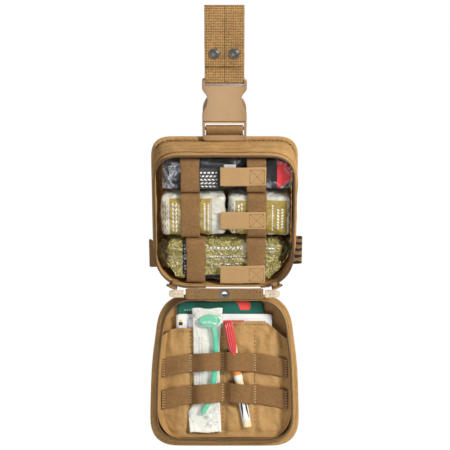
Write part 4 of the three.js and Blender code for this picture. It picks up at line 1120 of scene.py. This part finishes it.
# painted shade: the folds at the dressing's ends use the olive foil at about a quarter of its brightness, for
# folds turned away from the light
shaded_foil = printed("shaded_foil", (0.10, 0.085, 0.03), (), 0.25, 0.0012, 90.0, metallic=0.35, Coat_Weight=0.3)
foil_flap("foil_fold_left", -0.0745, -0.0885, -0.3085, -0.3480, -0.0385, 2.0)
foil_flap("foil_fold_right", 0.0735, 0.0870, -0.3095, -0.3400, -0.0385, 6.0)
print("packets crumpled")

# %% [markdown]
# The tourniquet is a folded black strap in layers, with its stiff plate, windlass rod, time strap and
# red tip, all inside a clear film sleeve. The layers are real folds of webbing.

# %% The wrapped tourniquet
low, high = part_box("tourniquet_strap")
layers = 7
for_fold = []
pitch = (high.y - low.y) / layers
for i in range(layers):
    y = low.y + pitch * (i + 0.5)
    x0, x1 = low.x + 0.002 + 0.0015 * (i % 3), high.x - 0.002 - 0.001 * (i % 2)
    ends = [(x0, y, 0), (x1, y, 0)] if i % 2 == 0 else [(x1, y, 0), (x0, y, 0)]
    if i:
        for_fold.append(((ends[0][0] + (0.0008 if i % 2 else -0.0008)), y - pitch * 0.5, 0))
    for_fold += ends
middle_z = (low.z + high.z) / 2
fold_line = along_line([(x, y, middle_z) for x, y, _ in for_fold], rounds=1)


def settle_fold(spot, u, v):
    return Vector((0, 0.0006 * noise.noise(Vector((spot.x * 40, v * 9, 4))), 0.0008 * math.sin(v * 30)))


strip("tourniquet_folds", fold_line, (0, 0, 1), 0.0375, 0.0026, black_weave, "back_half",
      ["tourniquet_strap"], step=0.004, sag=settle_fold, wave=0.0006)
low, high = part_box("time_strap")
time_line = along_line([(0.007, low.y + 0.0005, high.z), (0.007, low.y + 0.0003, (low.z + high.z) / 2),
                        (0.007, low.y + 0.0005, low.z)])
strip("time_strap_tape", time_line, (1, 0, 0), high.x - low.x, 0.0007, white_weave, "back_half",
      ["time_strap"])

low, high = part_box("tourniquet_film")
sleeve = [(high.y - 0.001, low.z + 0.003), (high.y - 0.001, high.z - 0.003),
          (high.y - 0.006, high.z - 0.0008)]
sleeve += [(low.y + 0.007, high.z - 0.0008), (low.y + 0.0012, high.z - 0.007),
           (low.y + 0.0010, low.z + 0.007)]
sleeve += [(low.y + 0.007, low.z + 0.0008), (high.y - 0.006, low.z + 0.0008)]
ring = along_line([(0, y, z) for y, z in sleeve], closed=True, rounds=2)
mid_y, mid_z = (low.y + high.y) / 2, (low.z + high.z) / 2
film_low, film_high = Vector(low), Vector(high)


def sleeve_place(u, v):
    x = film_low.x + (film_high.x - film_low.x) * v
    spot = ring(u)
    pinch = max(0.0, 1 - min(v, 1 - v) / 0.07)
    y = spot.y + (mid_y - 0.008 - spot.y) * 0.55 * pinch ** 2
    z = spot.z
    fold = 1 - min(1.0, abs(noise.noise(Vector((x * 42, u * 9.0, 3.1)))) * 3)
    fold += 0.5 * (1 - min(1.0, abs(noise.noise(Vector((x * 110, u * 22.0, 9.1)))) * 3))
    inward = Vector((0, mid_y - y, mid_z - z)).normalized()
    return Vector((x, y, z)) + inward * 0.0011 * fold


bm = lay_sheet(110, 120, sleeve_place, (ring.length, film_high.x - film_low.x))
bmesh.ops.remove_doubles(bm, verts=bm.verts, dist=1e-6)
bmesh.ops.recalc_face_normals(bm, faces=bm.faces)
piece = add_piece("tourniquet_sleeve", bm, "back_half", clear_film, ["tourniquet_film"])
thicken(piece, 0.00012, -1.0)
low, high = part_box("tourniquet_red_tip")


def tip_place(u, v):
    angle = math.pi * (u - 0.5)
    reach = math.sin(v * math.pi / 2)
    x = 0.0695 + 0.0182 * math.cos(angle) * reach
    z = (low.z + high.z) / 2 + 0.0178 * math.sin(angle) * reach
    grain = 0.0003 * noise.noise(Vector((x * 300, 0, z * 300)))
    return Vector((x, low.y - 0.0012 - 0.0014 * math.cos(v * math.pi / 2) + grain, z))


bm = lay_sheet(40, 16, tip_place, (0.018, 0.034))
bmesh.ops.remove_doubles(bm, verts=bm.verts, dist=1e-6)
bmesh.ops.recalc_face_normals(bm, faces=bm.faces)
tip_red = plain("tip_red", (0.95, 0.02, 0.035), 0.5)
red_tip = add_piece("tourniquet_tip", bm, "back_half", tip_red, ["tourniquet_red_tip"])
thicken(red_tip, 0.0022, 0.0, 0.0003)
tag_marks = [(WHITE, 0.002, 0.025, 0.003, 0.026, 0.0048, 0.0052)]
tag_print = printed("tag_print", (0.04, 0.038, 0.036), tag_marks, 0.5, 0.0002, cloth=True)
tag_line = along_line([(-0.021, -0.0403, -0.206), (-0.021, -0.0409, -0.220), (-0.021, -0.0403, -0.2345)])
strip("tourniquet_tag", tag_line, (-1, 0, 0), 0.027, 0.0006, tag_print, "back_half")
print("tourniquet wrapped, layers:", layers)

# %% [markdown]
# ## The thigh strap
# Elastic webbing is stowed flat behind the panel, and its two folded ends stand out at the sides.

# %% Thigh strap and its keepers
low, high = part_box("thigh_strap")
radius = 0.0026
y = 0.007 + 0.0026 + radius
z = (low.z + high.z) / 2
left, right = low.x + radius - 0.003, high.x - radius + 0.003


def fold_round(x, turn, height):
    """The half circle that the strap makes where it folds back."""
    angles = [math.radians(turn + 22.5 * i) for i in range(9)]
    return [(x + radius * math.cos(a), y + radius * math.sin(a), height) for a in angles]


loop = fold_round(left, 90, z - 0.004) + fold_round(right, -90, z + 0.001)
loop += [(-0.02, y + radius, z - 0.002)]


def striped_elastic():
    """Plain elastic whose right end carries dark bars."""
    s = Surface("striped_elastic")
    x, _, z = s.place()
    end = x.above(0.091, 0.0015)
    bars = (z * (2 * math.pi / 0.0095) + (s.noise(120.0) - 0.5) * 5).sine().above(0.05, 0.25)
    mottle = s.noise(330.0, detail=3.0, rough=0.7)
    base = s.mix(mottle, (0.17, 0.09, 0.036), (0.30, 0.165, 0.07))
    base = s.mix(end * bars, base, (0.022, 0.02, 0.016))
    return s.finish(base, 0.85, s.bump(mottle, 0.0003), Specular_IOR_Level=0.25)


strip("thigh_strap_elastic", along_line(loop, rounds=1), (0, 0, 1), 0.0395, 0.0020, striped_elastic(),
      "back_half",
      ["thigh_strap"], cells=12, wave=0.0006, round_edge=0.0006)
for side, word in ((-1, "left"), (1, "right")):
    low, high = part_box(f"strap_keeper_{word}")
    x = (low.x + high.x) / 2
    path = [(x, low.y + 0.0007, high.z), (x, low.y + 0.0007, high.z - 0.009),
            (x, high.y - 0.0007, high.z - 0.0124)]
    path += [(x, high.y - 0.0007, low.z + 0.0104), (x, low.y + 0.0007, low.z + 0.007),
             (x, low.y + 0.0007, low.z)]
    strip(f"keeper_webbing_{word}", along_line(path, rounds=0), (1, 0, 0), 0.0249, 0.0014, loop_webbing,
          "back_half",
          [f"strap_keeper_{word}"], wave=0.0003)
print("thigh strap stowed")

# %% [markdown]
# ## The hinge strip
# A strip of fabric joins the halves. It has a dark eyelet in the middle to drain the pouch,
# rows of stitches at its ends, and a pale tab at either side where the zip starts.

# %% Hinge strip, eyelet and end tabs
HINGE_FRAME = Matrix.Translation(HINGE) @ Matrix.Rotation(-LID_LEAN / 2, 4, "X")
HALF_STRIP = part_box("hinge_flap")[1].x


def hinge_place(u, v):
    angle = u * 2 * math.pi
    wide, tall = HALF_STRIP - 0.0004, 0.0073
    corner = max(abs(math.cos(angle)) / wide, abs(math.sin(angle)) / tall)
    edge = Vector((math.cos(angle) / corner, 0, math.sin(angle) / corner))
    hole = Vector((math.cos(angle), 0, math.sin(angle))) * 0.0048
    spot = hole.lerp(edge, v ** 1.5)
    spot.y = 0.0005 * math.sin(spot.x * 160) * min(1, abs(spot.x) / 0.012) + 0.0003 * noise.noise(spot * 90)
    return spot


bm = lay_sheet(256, 14, hinge_place, (0.1, 0.05), closed=True)
cloth = bm.loops.layers.uv.active
for face in bm.faces:
    for loop in face.loops:
        loop[cloth].uv = (loop.vert.co.x, loop.vert.co.z)
bmesh.ops.recalc_face_normals(bm, faces=bm.faces)
# painted shade: the hinge strip wears the darkened copy of the coyote cloth
piece = add_piece("hinge_cloth", bm, "hinge_strip", shade_cloth, ["hinge_flap"], HINGE_FRAME)
thicken(piece, 0.0018, 0.0, 0.0004)
rows = []
for side in (-1, 1):
    for i in range(4):
        x = side * (0.0345 + 0.0048 * i)
        rows.append(((x, -0.0012, -0.006), (x, -0.0012, 0.006), FRONT))
stitches("hinge_stitch", rows, "hinge_strip", "pouch_fabric", thread, HINGE_FRAME, length=0.0024)
for side, word in ((-1, "left"), (1, "right")):
    x0, x1 = HALF_STRIP + 0.0020, HALF_STRIP + 0.0218

    def tab_place(u, v, side=side, x0=x0, x1=x1):
        x = x0 + (x1 - x0) * u
        tall = 0.0054 - 0.0008 * u - (0.0012 if u > 0.9 else 0)
        return Vector((side * x, 0.0004 * math.sin(u * 7), (2 * v - 1) * tall))

    bm = lay_sheet(14, 10, tab_place, (0.02, 0.01))
    if side < 0:
        bmesh.ops.reverse_faces(bm, faces=bm.faces)
    piece = add_piece(f"end_tab_tape_{word}", bm, "hinge_strip", pale_tape,
                      [f"zip_end_tab_{word}"], HINGE_FRAME)
    thicken(piece, 0.0022, 0.0, 0.0006)
    runs = [((side * (x0 + 0.007), -0.0016, -0.003), (side * (x0 + 0.007), -0.0016, 0.003), FRONT)]
    runs += [((side * (x0 + 0.012), -0.0016, -0.0025), (side * (x0 + 0.012), -0.0016, 0.0025), FRONT)]
    stitches(f"end_tab_stitch_{word}", runs, "hinge_strip", "end_tab", thread, HINGE_FRAME, length=0.0016)
print("hinge strip sewn")

# %% [markdown]
# ## Inside the lid
# The lid is lined, and a cloth pocket is sewn over the lining from side to side. The pocket's top
# edge steps down in the middle. Wrinkles in the pocket run away from the rows of stitches, so its
# folds are noise that has been stretched along the diagonal.

# %% Pocket and lining
def interpolate(x, table):
    for (x0, y0), (x1, y1) in zip(table, table[1:]):
        if x <= x1:
            return y0 + (y1 - y0) * max(0.0, (x - x0) / (x1 - x0))
    return table[-1][1]


POCKET_TOP = [(-0.0905, -0.0585), (-0.080, -0.0500), (-0.070, -0.0475), (-0.0035, -0.048), (-0.0015, -0.0395)]
POCKET_TOP += [(0.004, -0.0385), (0.058, -0.0385), (0.064, -0.0410), (0.0905, -0.062)]
POCKET_LOW = -0.1962
SEAMS = (-0.0465, -0.002, 0.0413)


def pocket_half(z):
    deep = max(0.0, (-z - 0.158) / (0.1962 - 0.158))
    return (0.0900 - 0.027 * (1 - math.sqrt(max(0.0, 1 - deep * deep)))) * slump(-z)


def ridge_fold(*spot):
    """1 on the crest of a fold, falling away to either side."""
    return 1 - min(1.0, abs(noise.noise(Vector(spot))) * 2.6)


def pocket_wrinkle(x, z):
    """How far the pocket stands forward of where it is sewn."""
    fold = 0.0030 * ridge_fold(x * 15 + z * 12, z * 22 - x * 10, 4.0)
    fold += 0.0020 * ridge_fold(x * 34 + z * 20, z * 16 - x * 16, 9.0)
    fold += 0.0007 * ridge_fold(x * 80 + z * 30, z * 60 - x * 30, 1.0)
    bow = (x / 0.086) ** 2 * 0.011
    held = math.exp(-(((z + 0.092 + bow) / 0.017) ** 2)) + math.exp(-(((z + 0.135 + bow) / 0.017) ** 2))
    fold *= 1 - 0.72 * min(1.0, held)
    for seam in SEAMS:
        fold *= 1 - 0.8 * math.exp(-(((x - seam) / 0.005) ** 2))
    under_paper = min(1.0, max(0.0, 1 - (abs(x + 0.0245) - 0.0215) / 0.008))
    return fold * (1 - 0.82 * under_paper)


def pocket_dip(x):
    """Beyond the cards the pocket falls back towards the lining."""
    left = min(1.0, max(0.0, (-x - 0.060) / 0.020))
    right = min(1.0, max(0.0, (x - 0.064) / 0.018))
    return 0.0050 * left * left * (3 - 2 * left) + 0.0028 * right * right * (3 - 2 * right)


def pocket_place(u, v):
    x0 = (2 * u - 1) * 0.0903
    z = interpolate(x0, POCKET_TOP) * (1 - v) + POCKET_LOW * v
    x = (2 * u - 1) * pocket_half(z)
    side = max(0.0, abs(2 * u - 1) - 0.93) / 0.07
    foot = max(0.0, v - 0.95) / 0.05
    near = min(1.0, (1 - abs(2 * u - 1)) * 10, (1 - v) * 12)
    y = 0.0174 - pocket_wrinkle(x, z) * 1.25 * near + pocket_dip(x)
    y -= 0.0007 * math.exp(-(v / 0.02) ** 2) + 0.0065 * max(side, foot) ** 1.6 + pocket_dip(x) * max(side,
                                                                                                     foot)
    return Vector((x, y, z))


bm = lay_sheet(110, 90, pocket_place, (0.177, 0.145))
pocket = add_piece("pocket_cloth", bm, "lid", lining_cloth, ["inner_pocket"], LID_FRAME)
thicken(pocket, 0.0009, 0.0)


def lining_place(u, v):
    angle = u * 2 * math.pi
    reach = v ** 0.7
    spot = lining_edge(u).lerp(Vector((0, 0.0258, -0.105)), 1 - reach)
    spot.y = 0.0262 + 0.0008 * noise.noise(Vector((spot.x * 30 + spot.z * 12, spot.z * 40, 2)))
    return spot


lining_edge = along_line(outline(LID_HALF, 0.002, LID_FAR, 0.038, -1, inset=0.0085), closed=True, rounds=1)
bm = lay_sheet(180, 30, lining_place, (0.6, 0.1), closed=True)
cloth = bm.loops.layers.uv.active
for face in bm.faces:
    for loop in face.loops:
        loop[cloth].uv = (loop.vert.co.x, loop.vert.co.z)
add_piece("lid_lining", bm, "lid", lining_cloth, (), LID_FRAME)


def pocket_point(x, z, lift=0.0):
    return Vector((x, 0.0168 - pocket_wrinkle(x, z) * 1.25 + pocket_dip(x) - lift, z))


HEM = 0.0045  # the row of stitches below the pocket's top edge
HEM_STEP = 0.004


def hem_line(start, count):
    spots = [start + i * HEM_STEP for i in range(count)]
    return [pocket_point(x, interpolate(x, POCKET_TOP) - HEM) for x in spots]


hems = (hem_line(HEM_STEP, 15), hem_line(-0.066, 16))
runs = [(a, b, FRONT) for line in hems for a, b in zip(line, line[1:])]
stitches("pocket_hem_stitch", runs, "lid", "lining_fabric", thread, LID_FRAME, length=0.0026)
runs = []
for seam in SEAMS:
    for z0, z1 in ((-0.076, -0.050), (-0.107, -0.122), (-0.150, -0.178)):
        steps = 5
        spots = [pocket_point(seam, z0 + (z1 - z0) * i / steps, 0.0002) for i in range(steps + 1)]
        runs += [(a, b, FRONT) for a, b in zip(spots, spots[1:])]
stitches("pocket_seam_stitch", runs, "lid", "lining_fabric", thread, LID_FRAME, length=0.0024)
print("pocket laid with", len(SEAMS), "seams")

# %% [markdown]
# Two elastic bands cross the pocket. They are sewn down at the seams, and they bow out between them
# over the airway and the needle case. Their ends hang lower than their middles.

# %% Bands across the pocket
BAND_FLAT = 0.0145


def pocket_band(name, node, z, width, route):
    points = []
    for x, lift in route:
        points.append((x * MM, BAND_FLAT - lift * MM, z - 0.011 * (x / 86) ** 2))
    points = [points[0]] + points[1:-1] + [points[-1]]
    line = along_line(points, rounds=2)

    def slack(spot, u, v):
        bow = 0.0
        for a, b in zip((-0.086, *SEAMS), (*SEAMS, 0.086)):
            if a <= spot.x <= b:
                t = (spot.x - a) / (b - a)
                bow = math.sin(math.pi * t)
        return Vector((0, -0.0011 * bow + 0.0003 * noise.noise(spot * 80),
                       0.0010 * bow * (1 if u < 0.5 else -0.4)))

    strip(name, line, (0, 0, 1), width, 0.0013, pocket_elastic, "lid", [node], LID_FRAME,
          cells=12, step=0.002, wave=0.0006, sag=slack)
    runs = []
    for seam in SEAMS + (-0.0835, 0.0835):
        at_z = z - 0.011 * (seam / 0.086) ** 2
        face = BAND_FLAT - 0.0019 + (0.0029 if seam == -0.0835 else 0.0)
        for off in (-0.0008, 0.0010):
            runs.append(((seam + off, face, at_z - width / 2 + 0.001),
                         (seam + off, face, at_z + width / 2 - 0.001), FRONT))
    stitches(name + "_stitch", runs, "lid", "elastic", pale_thread, LID_FRAME, length=0.0016, gap=0.0016,
             girth=0.0006)


route_left = [(-86, -3), (-84, -3), (-76, -1.4), (-57, 1.2), (-49, 0), (-45, 0)]
route_right = [(40, 0), (44, 0), (52, 1.2), (76, 1.2), (84, 0), (86, 0)]
over_upper = [(-32, 9.3), (-22, 11.3), (-9, 11.3), (-5, 1.4), (-2, 0), (0, 1), (3, 11.3), (25, 11.3),
              (33, 6.8)]
over_lower = [(-38, 8.5), (-29, 11.3), (-12, 11.3), (-5, 1.5), (-2, 0), (2, 1.5), (11, 11.3), (34, 11.3),
              (38, 2)]
pocket_band("lid_band_upper", "pocket_band_upper", -0.092, 0.0258, route_left + over_upper + route_right)
pocket_band("lid_band_lower", "pocket_band_lower", -0.135, 0.0268, route_left + over_lower + route_right)
print("pocket bands sewn")

# %% [markdown]
# ## Cards, airway and needle case
# Cards are thin sheets with round corners and a slight curl. The airway is a soft trumpet in a long
# peel pouch: paper behind, clear film in front.

# %% Cards
def card(name, node, y, x0, x1, top, low, thickness, material, corner=0.009, curl=0.0008):
    wide, tall = x1 - x0, top - low

    def place(u, v):
        z = low + tall * v
        edge = min(z - low, top - z)
        cut = corner - math.sqrt(max(0.0, corner**2 - max(0.0, corner - edge) ** 2))
        x = (x0 + x1) / 2 + (2 * u - 1) * (wide / 2 - cut)
        bend = curl * math.sin(u * 4.0 + v) - curl * v
        return Vector((x, y + bend, z))

    bm = lay_sheet(30, 60, place, (wide, tall))
    piece = add_piece(name, bm, "lid", material, [node] if node else (), LID_FRAME)
    return thicken(piece, thickness, 0.0)


card("green_card_sheet", "instruction_card", 0.0229, -0.065, 0.054, -0.0115, -0.146, 0.0006, green_card)
card("white_card_sheet", "casualty_card", 0.0201, -0.066, 0.065, -0.0285, -0.152, 0.0007, white_card,
     0.003)
card("white_card_front", None, 0.0188, -0.050, 0.060, -0.0345, -0.140, 0.0004, front_card,
     0.002, 0.0004)
print("cards in the pocket")


# %% Airway pouch
def paper_edge(z):
    left = interpolate(-z, [(0.020, -0.0445), (0.058, -0.0425), (0.150, -0.0415), (0.162, -0.0495),
                            (0.190, -0.047)])
    right = interpolate(-z, [(0.020, -0.0025), (0.070, -0.0064), (0.150, -0.0064), (0.191, -0.0040)])
    return left, right


def paper_place(u, v):
    z = -0.0205 - 0.169 * v
    left, right = paper_edge(z)
    x = left + (right - left) * u
    y = 0.0145 - 0.0008 + 0.0006 * noise.noise(Vector((x * 60, z * 30, 2)))
    y -= 0.004 * max(0.0, v - 0.86) / 0.14 * (1 - 0.5 * u)
    return Vector((x, y, z + 0.0008 * math.sin(u * 9)))


bm = lay_sheet(24, 90, paper_place, (0.040, 0.169))
bmesh.ops.reverse_faces(bm, faces=bm.faces)
piece = add_piece("airway_paper", bm, "lid", pouch_paper, ["airway_wrap"], LID_FRAME)
thicken(piece, 0.0003, 0.0)


def film_place(u, v):
    z = -0.0215 - 0.166 * v
    left, right = paper_edge(z)
    x = left + (right - left) * (0.02 + 0.96 * u)
    across = math.sin(math.pi * u) ** 0.7
    puff = interpolate(v, [(0.0, 0.001), (0.06, 0.011), (0.20, 0.011), (0.34, 0.0088), (0.8, 0.0088),
                           (0.9, 0.006), (1.0, 0.001)])
    fold = 1 - min(1.0, abs(noise.noise(Vector((x * 120, z * 70, 6)))) * 3)
    fold += 0.5 * (1 - min(1.0, abs(noise.noise(Vector((x * 210, z * 170, 2)))) * 3))
    y = 0.0134 - puff * across + 0.0009 * fold * across
    return Vector((x, y, z))


bm = lay_sheet(40, 120, film_place, (0.040, 0.166))
bmesh.ops.reverse_faces(bm, faces=bm.faces)
add_piece("airway_film", bm, "lid", pouch_film, (), LID_FRAME)
print("airway pouch laid")

# %% [markdown]
# The needle case leans to the right. Its red cap has ribs along it and a pocket clip in front, and
# the yellow body below carries an orange band and a white label.

# %% Needle case
NEEDLE_TOP, NEEDLE_END = Vector((0.0044, 0.0101, -0.038)), Vector((0.0315, 0.0101, -0.182))
needle_line = (NEEDLE_END - NEEDLE_TOP).normalized()
needle_side = Vector((0, 1, 0)).cross(needle_line).normalized()


def along_needle(name, profile, body, material, stands_for=(), ribs=0, depth=0.0, start=0.0, end=1.0,
                 cells=64):
    """profile is (radius, distance from the cap's top), in metres."""
    reach = [0.0]
    for (r0, h0), (r1, h1) in zip(profile, profile[1:]):
        reach.append(reach[-1] + math.hypot(r1 - r0, h1 - h0))

    def place(u, v):
        k = round(v * (len(profile) - 1))
        r, h = profile[k]
        angle = 2 * math.pi * (start + (end - start) * u)
        if ribs and 0 < k < len(profile) - 2:
            r -= depth * (0.5 + 0.5 * math.cos(ribs * angle))
        round_it = needle_side * (r * 1.2 * math.cos(angle)) + Vector((0, r * math.sin(angle), 0))
        return NEEDLE_TOP + needle_line * h + round_it

    bm = lay_sheet(cells, len(profile) - 1, place, (0.034 * (end - start), reach[-1]), closed=True)
    bmesh.ops.recalc_face_normals(bm, faces=bm.faces)
    return add_piece(name, bm, body, material, stands_for, LID_FRAME)


cap = [(0.0, 0.0), (0.0042, 0.0002), (0.0050, 0.0014), (0.0053, 0.003), (0.0053, 0.010), (0.0053, 0.019),
       (0.0052, 0.0235)]
cap += [(0.0049, 0.0240), (0.0046, 0.0246), (0.0036, 0.0246), (0.0036, 0.0040), (0.0, 0.0040)]
along_needle("needle_cap_ribbed", cap, "cap", red_plastic, ["needle_cap"], 18, 0.0006,
             cells=144)
collar = [(0.0050, 0.0272), (0.0053, 0.0278), (0.0053, 0.0330), (0.0050, 0.0336)]
along_needle("needle_collar", collar, "lid", red_plastic, (), 18, 0.0003, cells=144)
along_needle("needle_orange_band", [(0.00486, 0.0665), (0.00494, 0.067), (0.00494, 0.0735),
                                    (0.00486, 0.074)], "lid", orange)
along_needle("needle_label", [(0.00486, 0.0745), (0.00494, 0.0748), (0.00494, 0.0800), (0.00486, 0.0803)],
             "lid",
             case_label, (), start=0.52, end=0.98)
along_needle("needle_label_lower", [(0.00486, 0.0900), (0.00494, 0.0903), (0.00494, 0.1370),
                                    (0.00486, 0.1373)], "lid",
             case_label, (), start=0.52, end=0.98)


def clip_place(u, v):
    h = 0.0020 + 0.045 * v
    half = interpolate(v, [(0, 0.0046), (0.05, 0.0055), (0.55, 0.0054), (0.78, 0.0046), (0.95, 0.0022),
                           (1.0, 0.0014)])
    lift = interpolate(v, [(0, 0.0072), (0.12, 0.0080), (0.9, 0.0080), (1.0, 0.0074)])
    ridge = 0.0005 * math.cos(u * 2 * math.pi * 4) * min(1.0, (1 - v) * 5)
    rise = 0.0012 * math.sin(math.pi * u)
    return NEEDLE_TOP + needle_line * h + needle_side * ((2 * u - 1) * half) + Vector((0,
                                                                                       -lift - rise + ridge,
                                                                                       0))


bm = lay_sheet(32, 60, clip_place, (0.01, 0.045))
piece = add_piece("needle_clip", bm, "cap", red_plastic, (), LID_FRAME)
thicken(piece, 0.0011, 0.0, 0.0003)
ridge = [(NEEDLE_TOP + needle_line * 0.0055 + Vector((0, -0.0060, 0)), (0.0090, 0.0040, 0.0062),
          math.atan2(needle_line.x, -needle_line.z))]
small_boxes("needle_clip_bridge", ridge, "cap", red_plastic, LID_FRAME, 0.0006)
print("needle case dressed")

# %% [markdown]
# ## Outside the lid
# A hook-and-loop field sits above two rows of attachment webbing, each row sewn down at five bars.

# %% Patch field and webbing rows
def field_place(u, v):
    x, z = -0.0495 + 0.099 * u, -0.0975 + 0.053 * v
    return Vector((x, 0.0331 + 0.00025 * noise.noise(Vector((x * 900, z * 900, 0))), z))


bm = lay_sheet(60, 34, field_place, (0.099, 0.053))
bmesh.ops.reverse_faces(bm, faces=bm.faces)
loop_pile = woven("loop_pile", (0.20, 0.115, 0.045), 0.0009, 0.0009, 0.0006, dark=0.5, sheen=0.8)
piece = add_piece("patch_pile", bm, "lid", loop_pile, ["lid_patch_field"], LID_FRAME)
thicken(piece, 0.0015, 0.0, 0.0004)
for z, word in ((-0.122, "upper"), (-0.160, "lower")):
    route = []
    for x in (-76, -38, 0, 38):
        for k in range(6):
            route.append(((x + 38 * k / 6) * MM, 0.0329 + 0.0026 * math.sin(math.pi * k / 6), z))
    route.append((0.076, 0.0329, z))
    strip(f"lid_row_{word}", along_line(route, rounds=0), (0, 0, 1), 0.0248, 0.0014, loop_webbing, "lid",
          [f"lid_webbing_{word}"], LID_FRAME, wave=0.0003)
    bars = [((x * MM, 0.0341, z - 0.0115), (x * MM, 0.0341, z + 0.0115), -FRONT) for x in (-76, -38, 0, 38,
                                                                                           76)]
    stitches(f"lid_row_bars_{word}", bars, "lid", "webbing", thread, LID_FRAME, length=0.0014, gap=0.0003)
print("outside of the lid done")

# %% Stage
AIM = Vector((0.0007, 0.0, -0.2999))


def area_light(name, place, aim, size, power, colour=(1, 1, 1)):
    lamp = bpy.data.lights.new(name, "AREA")
    lamp.size = size
    lamp.energy = power
    lamp.color = colour
    lamp_object = bpy.data.objects.new(name, lamp)
    lamp_object.location = place
    lamp_object.rotation_euler = (Vector(aim) - Vector(place)).to_track_quat("-Z", "Y").to_euler()
    bpy.context.scene.collection.objects.link(lamp_object)


area_light("key_light", (1.15, -0.95, 0.45), AIM, 0.45, 31, (1.0, 0.99, 0.96))
area_light("fill_light", (-0.5, -1.5, -0.7), AIM, 0.9, 9.5, (0.97, 0.98, 1.0))
area_light("top_light", (0.0, -0.5, 1.0), AIM, 0.7, 3)
world = bpy.data.worlds.new("studio")
bpy.context.scene.world = world
world.use_nodes = True
nodes, links = world.node_tree.nodes, world.node_tree.links
soft_light, white = nodes["Background"], nodes.new("ShaderNodeBackground")
soft_light.inputs["Color"].default_value = white.inputs["Color"].default_value = (1, 1, 1, 1)
soft_light.inputs["Strength"].default_value = 0.24
white.inputs["Strength"].default_value = 1.0
seen, choose = nodes.new("ShaderNodeLightPath"), nodes.new("ShaderNodeMixShader")
links.new(seen.outputs["Is Camera Ray"], choose.inputs["Fac"])
links.new(soft_light.outputs["Background"], choose.inputs[1])
links.new(white.outputs["Background"], choose.inputs[2])
links.new(choose.outputs["Shader"], nodes["World Output"].inputs["Surface"])
area_light("back_light", (0.6, 1.6, 0.4), AIM, 1.2, 14)

TILT = math.radians(20)
bpy.context.scene.view_settings.view_transform = "Standard"
camera = bpy.data.cameras.new("camera")
camera.lens = 99.27
camera.sensor_width = 36.0
camera_object = bpy.data.objects.new("camera", camera)
camera_object.location = AIM + 1.7 * Vector((0, -math.cos(TILT), math.sin(TILT)))
camera_object.rotation_euler = (AIM - camera_object.location).to_track_quat("-Z", "Y").to_euler()
bpy.context.scene.collection.objects.link(camera_object)
bpy.context.scene.camera = camera_object
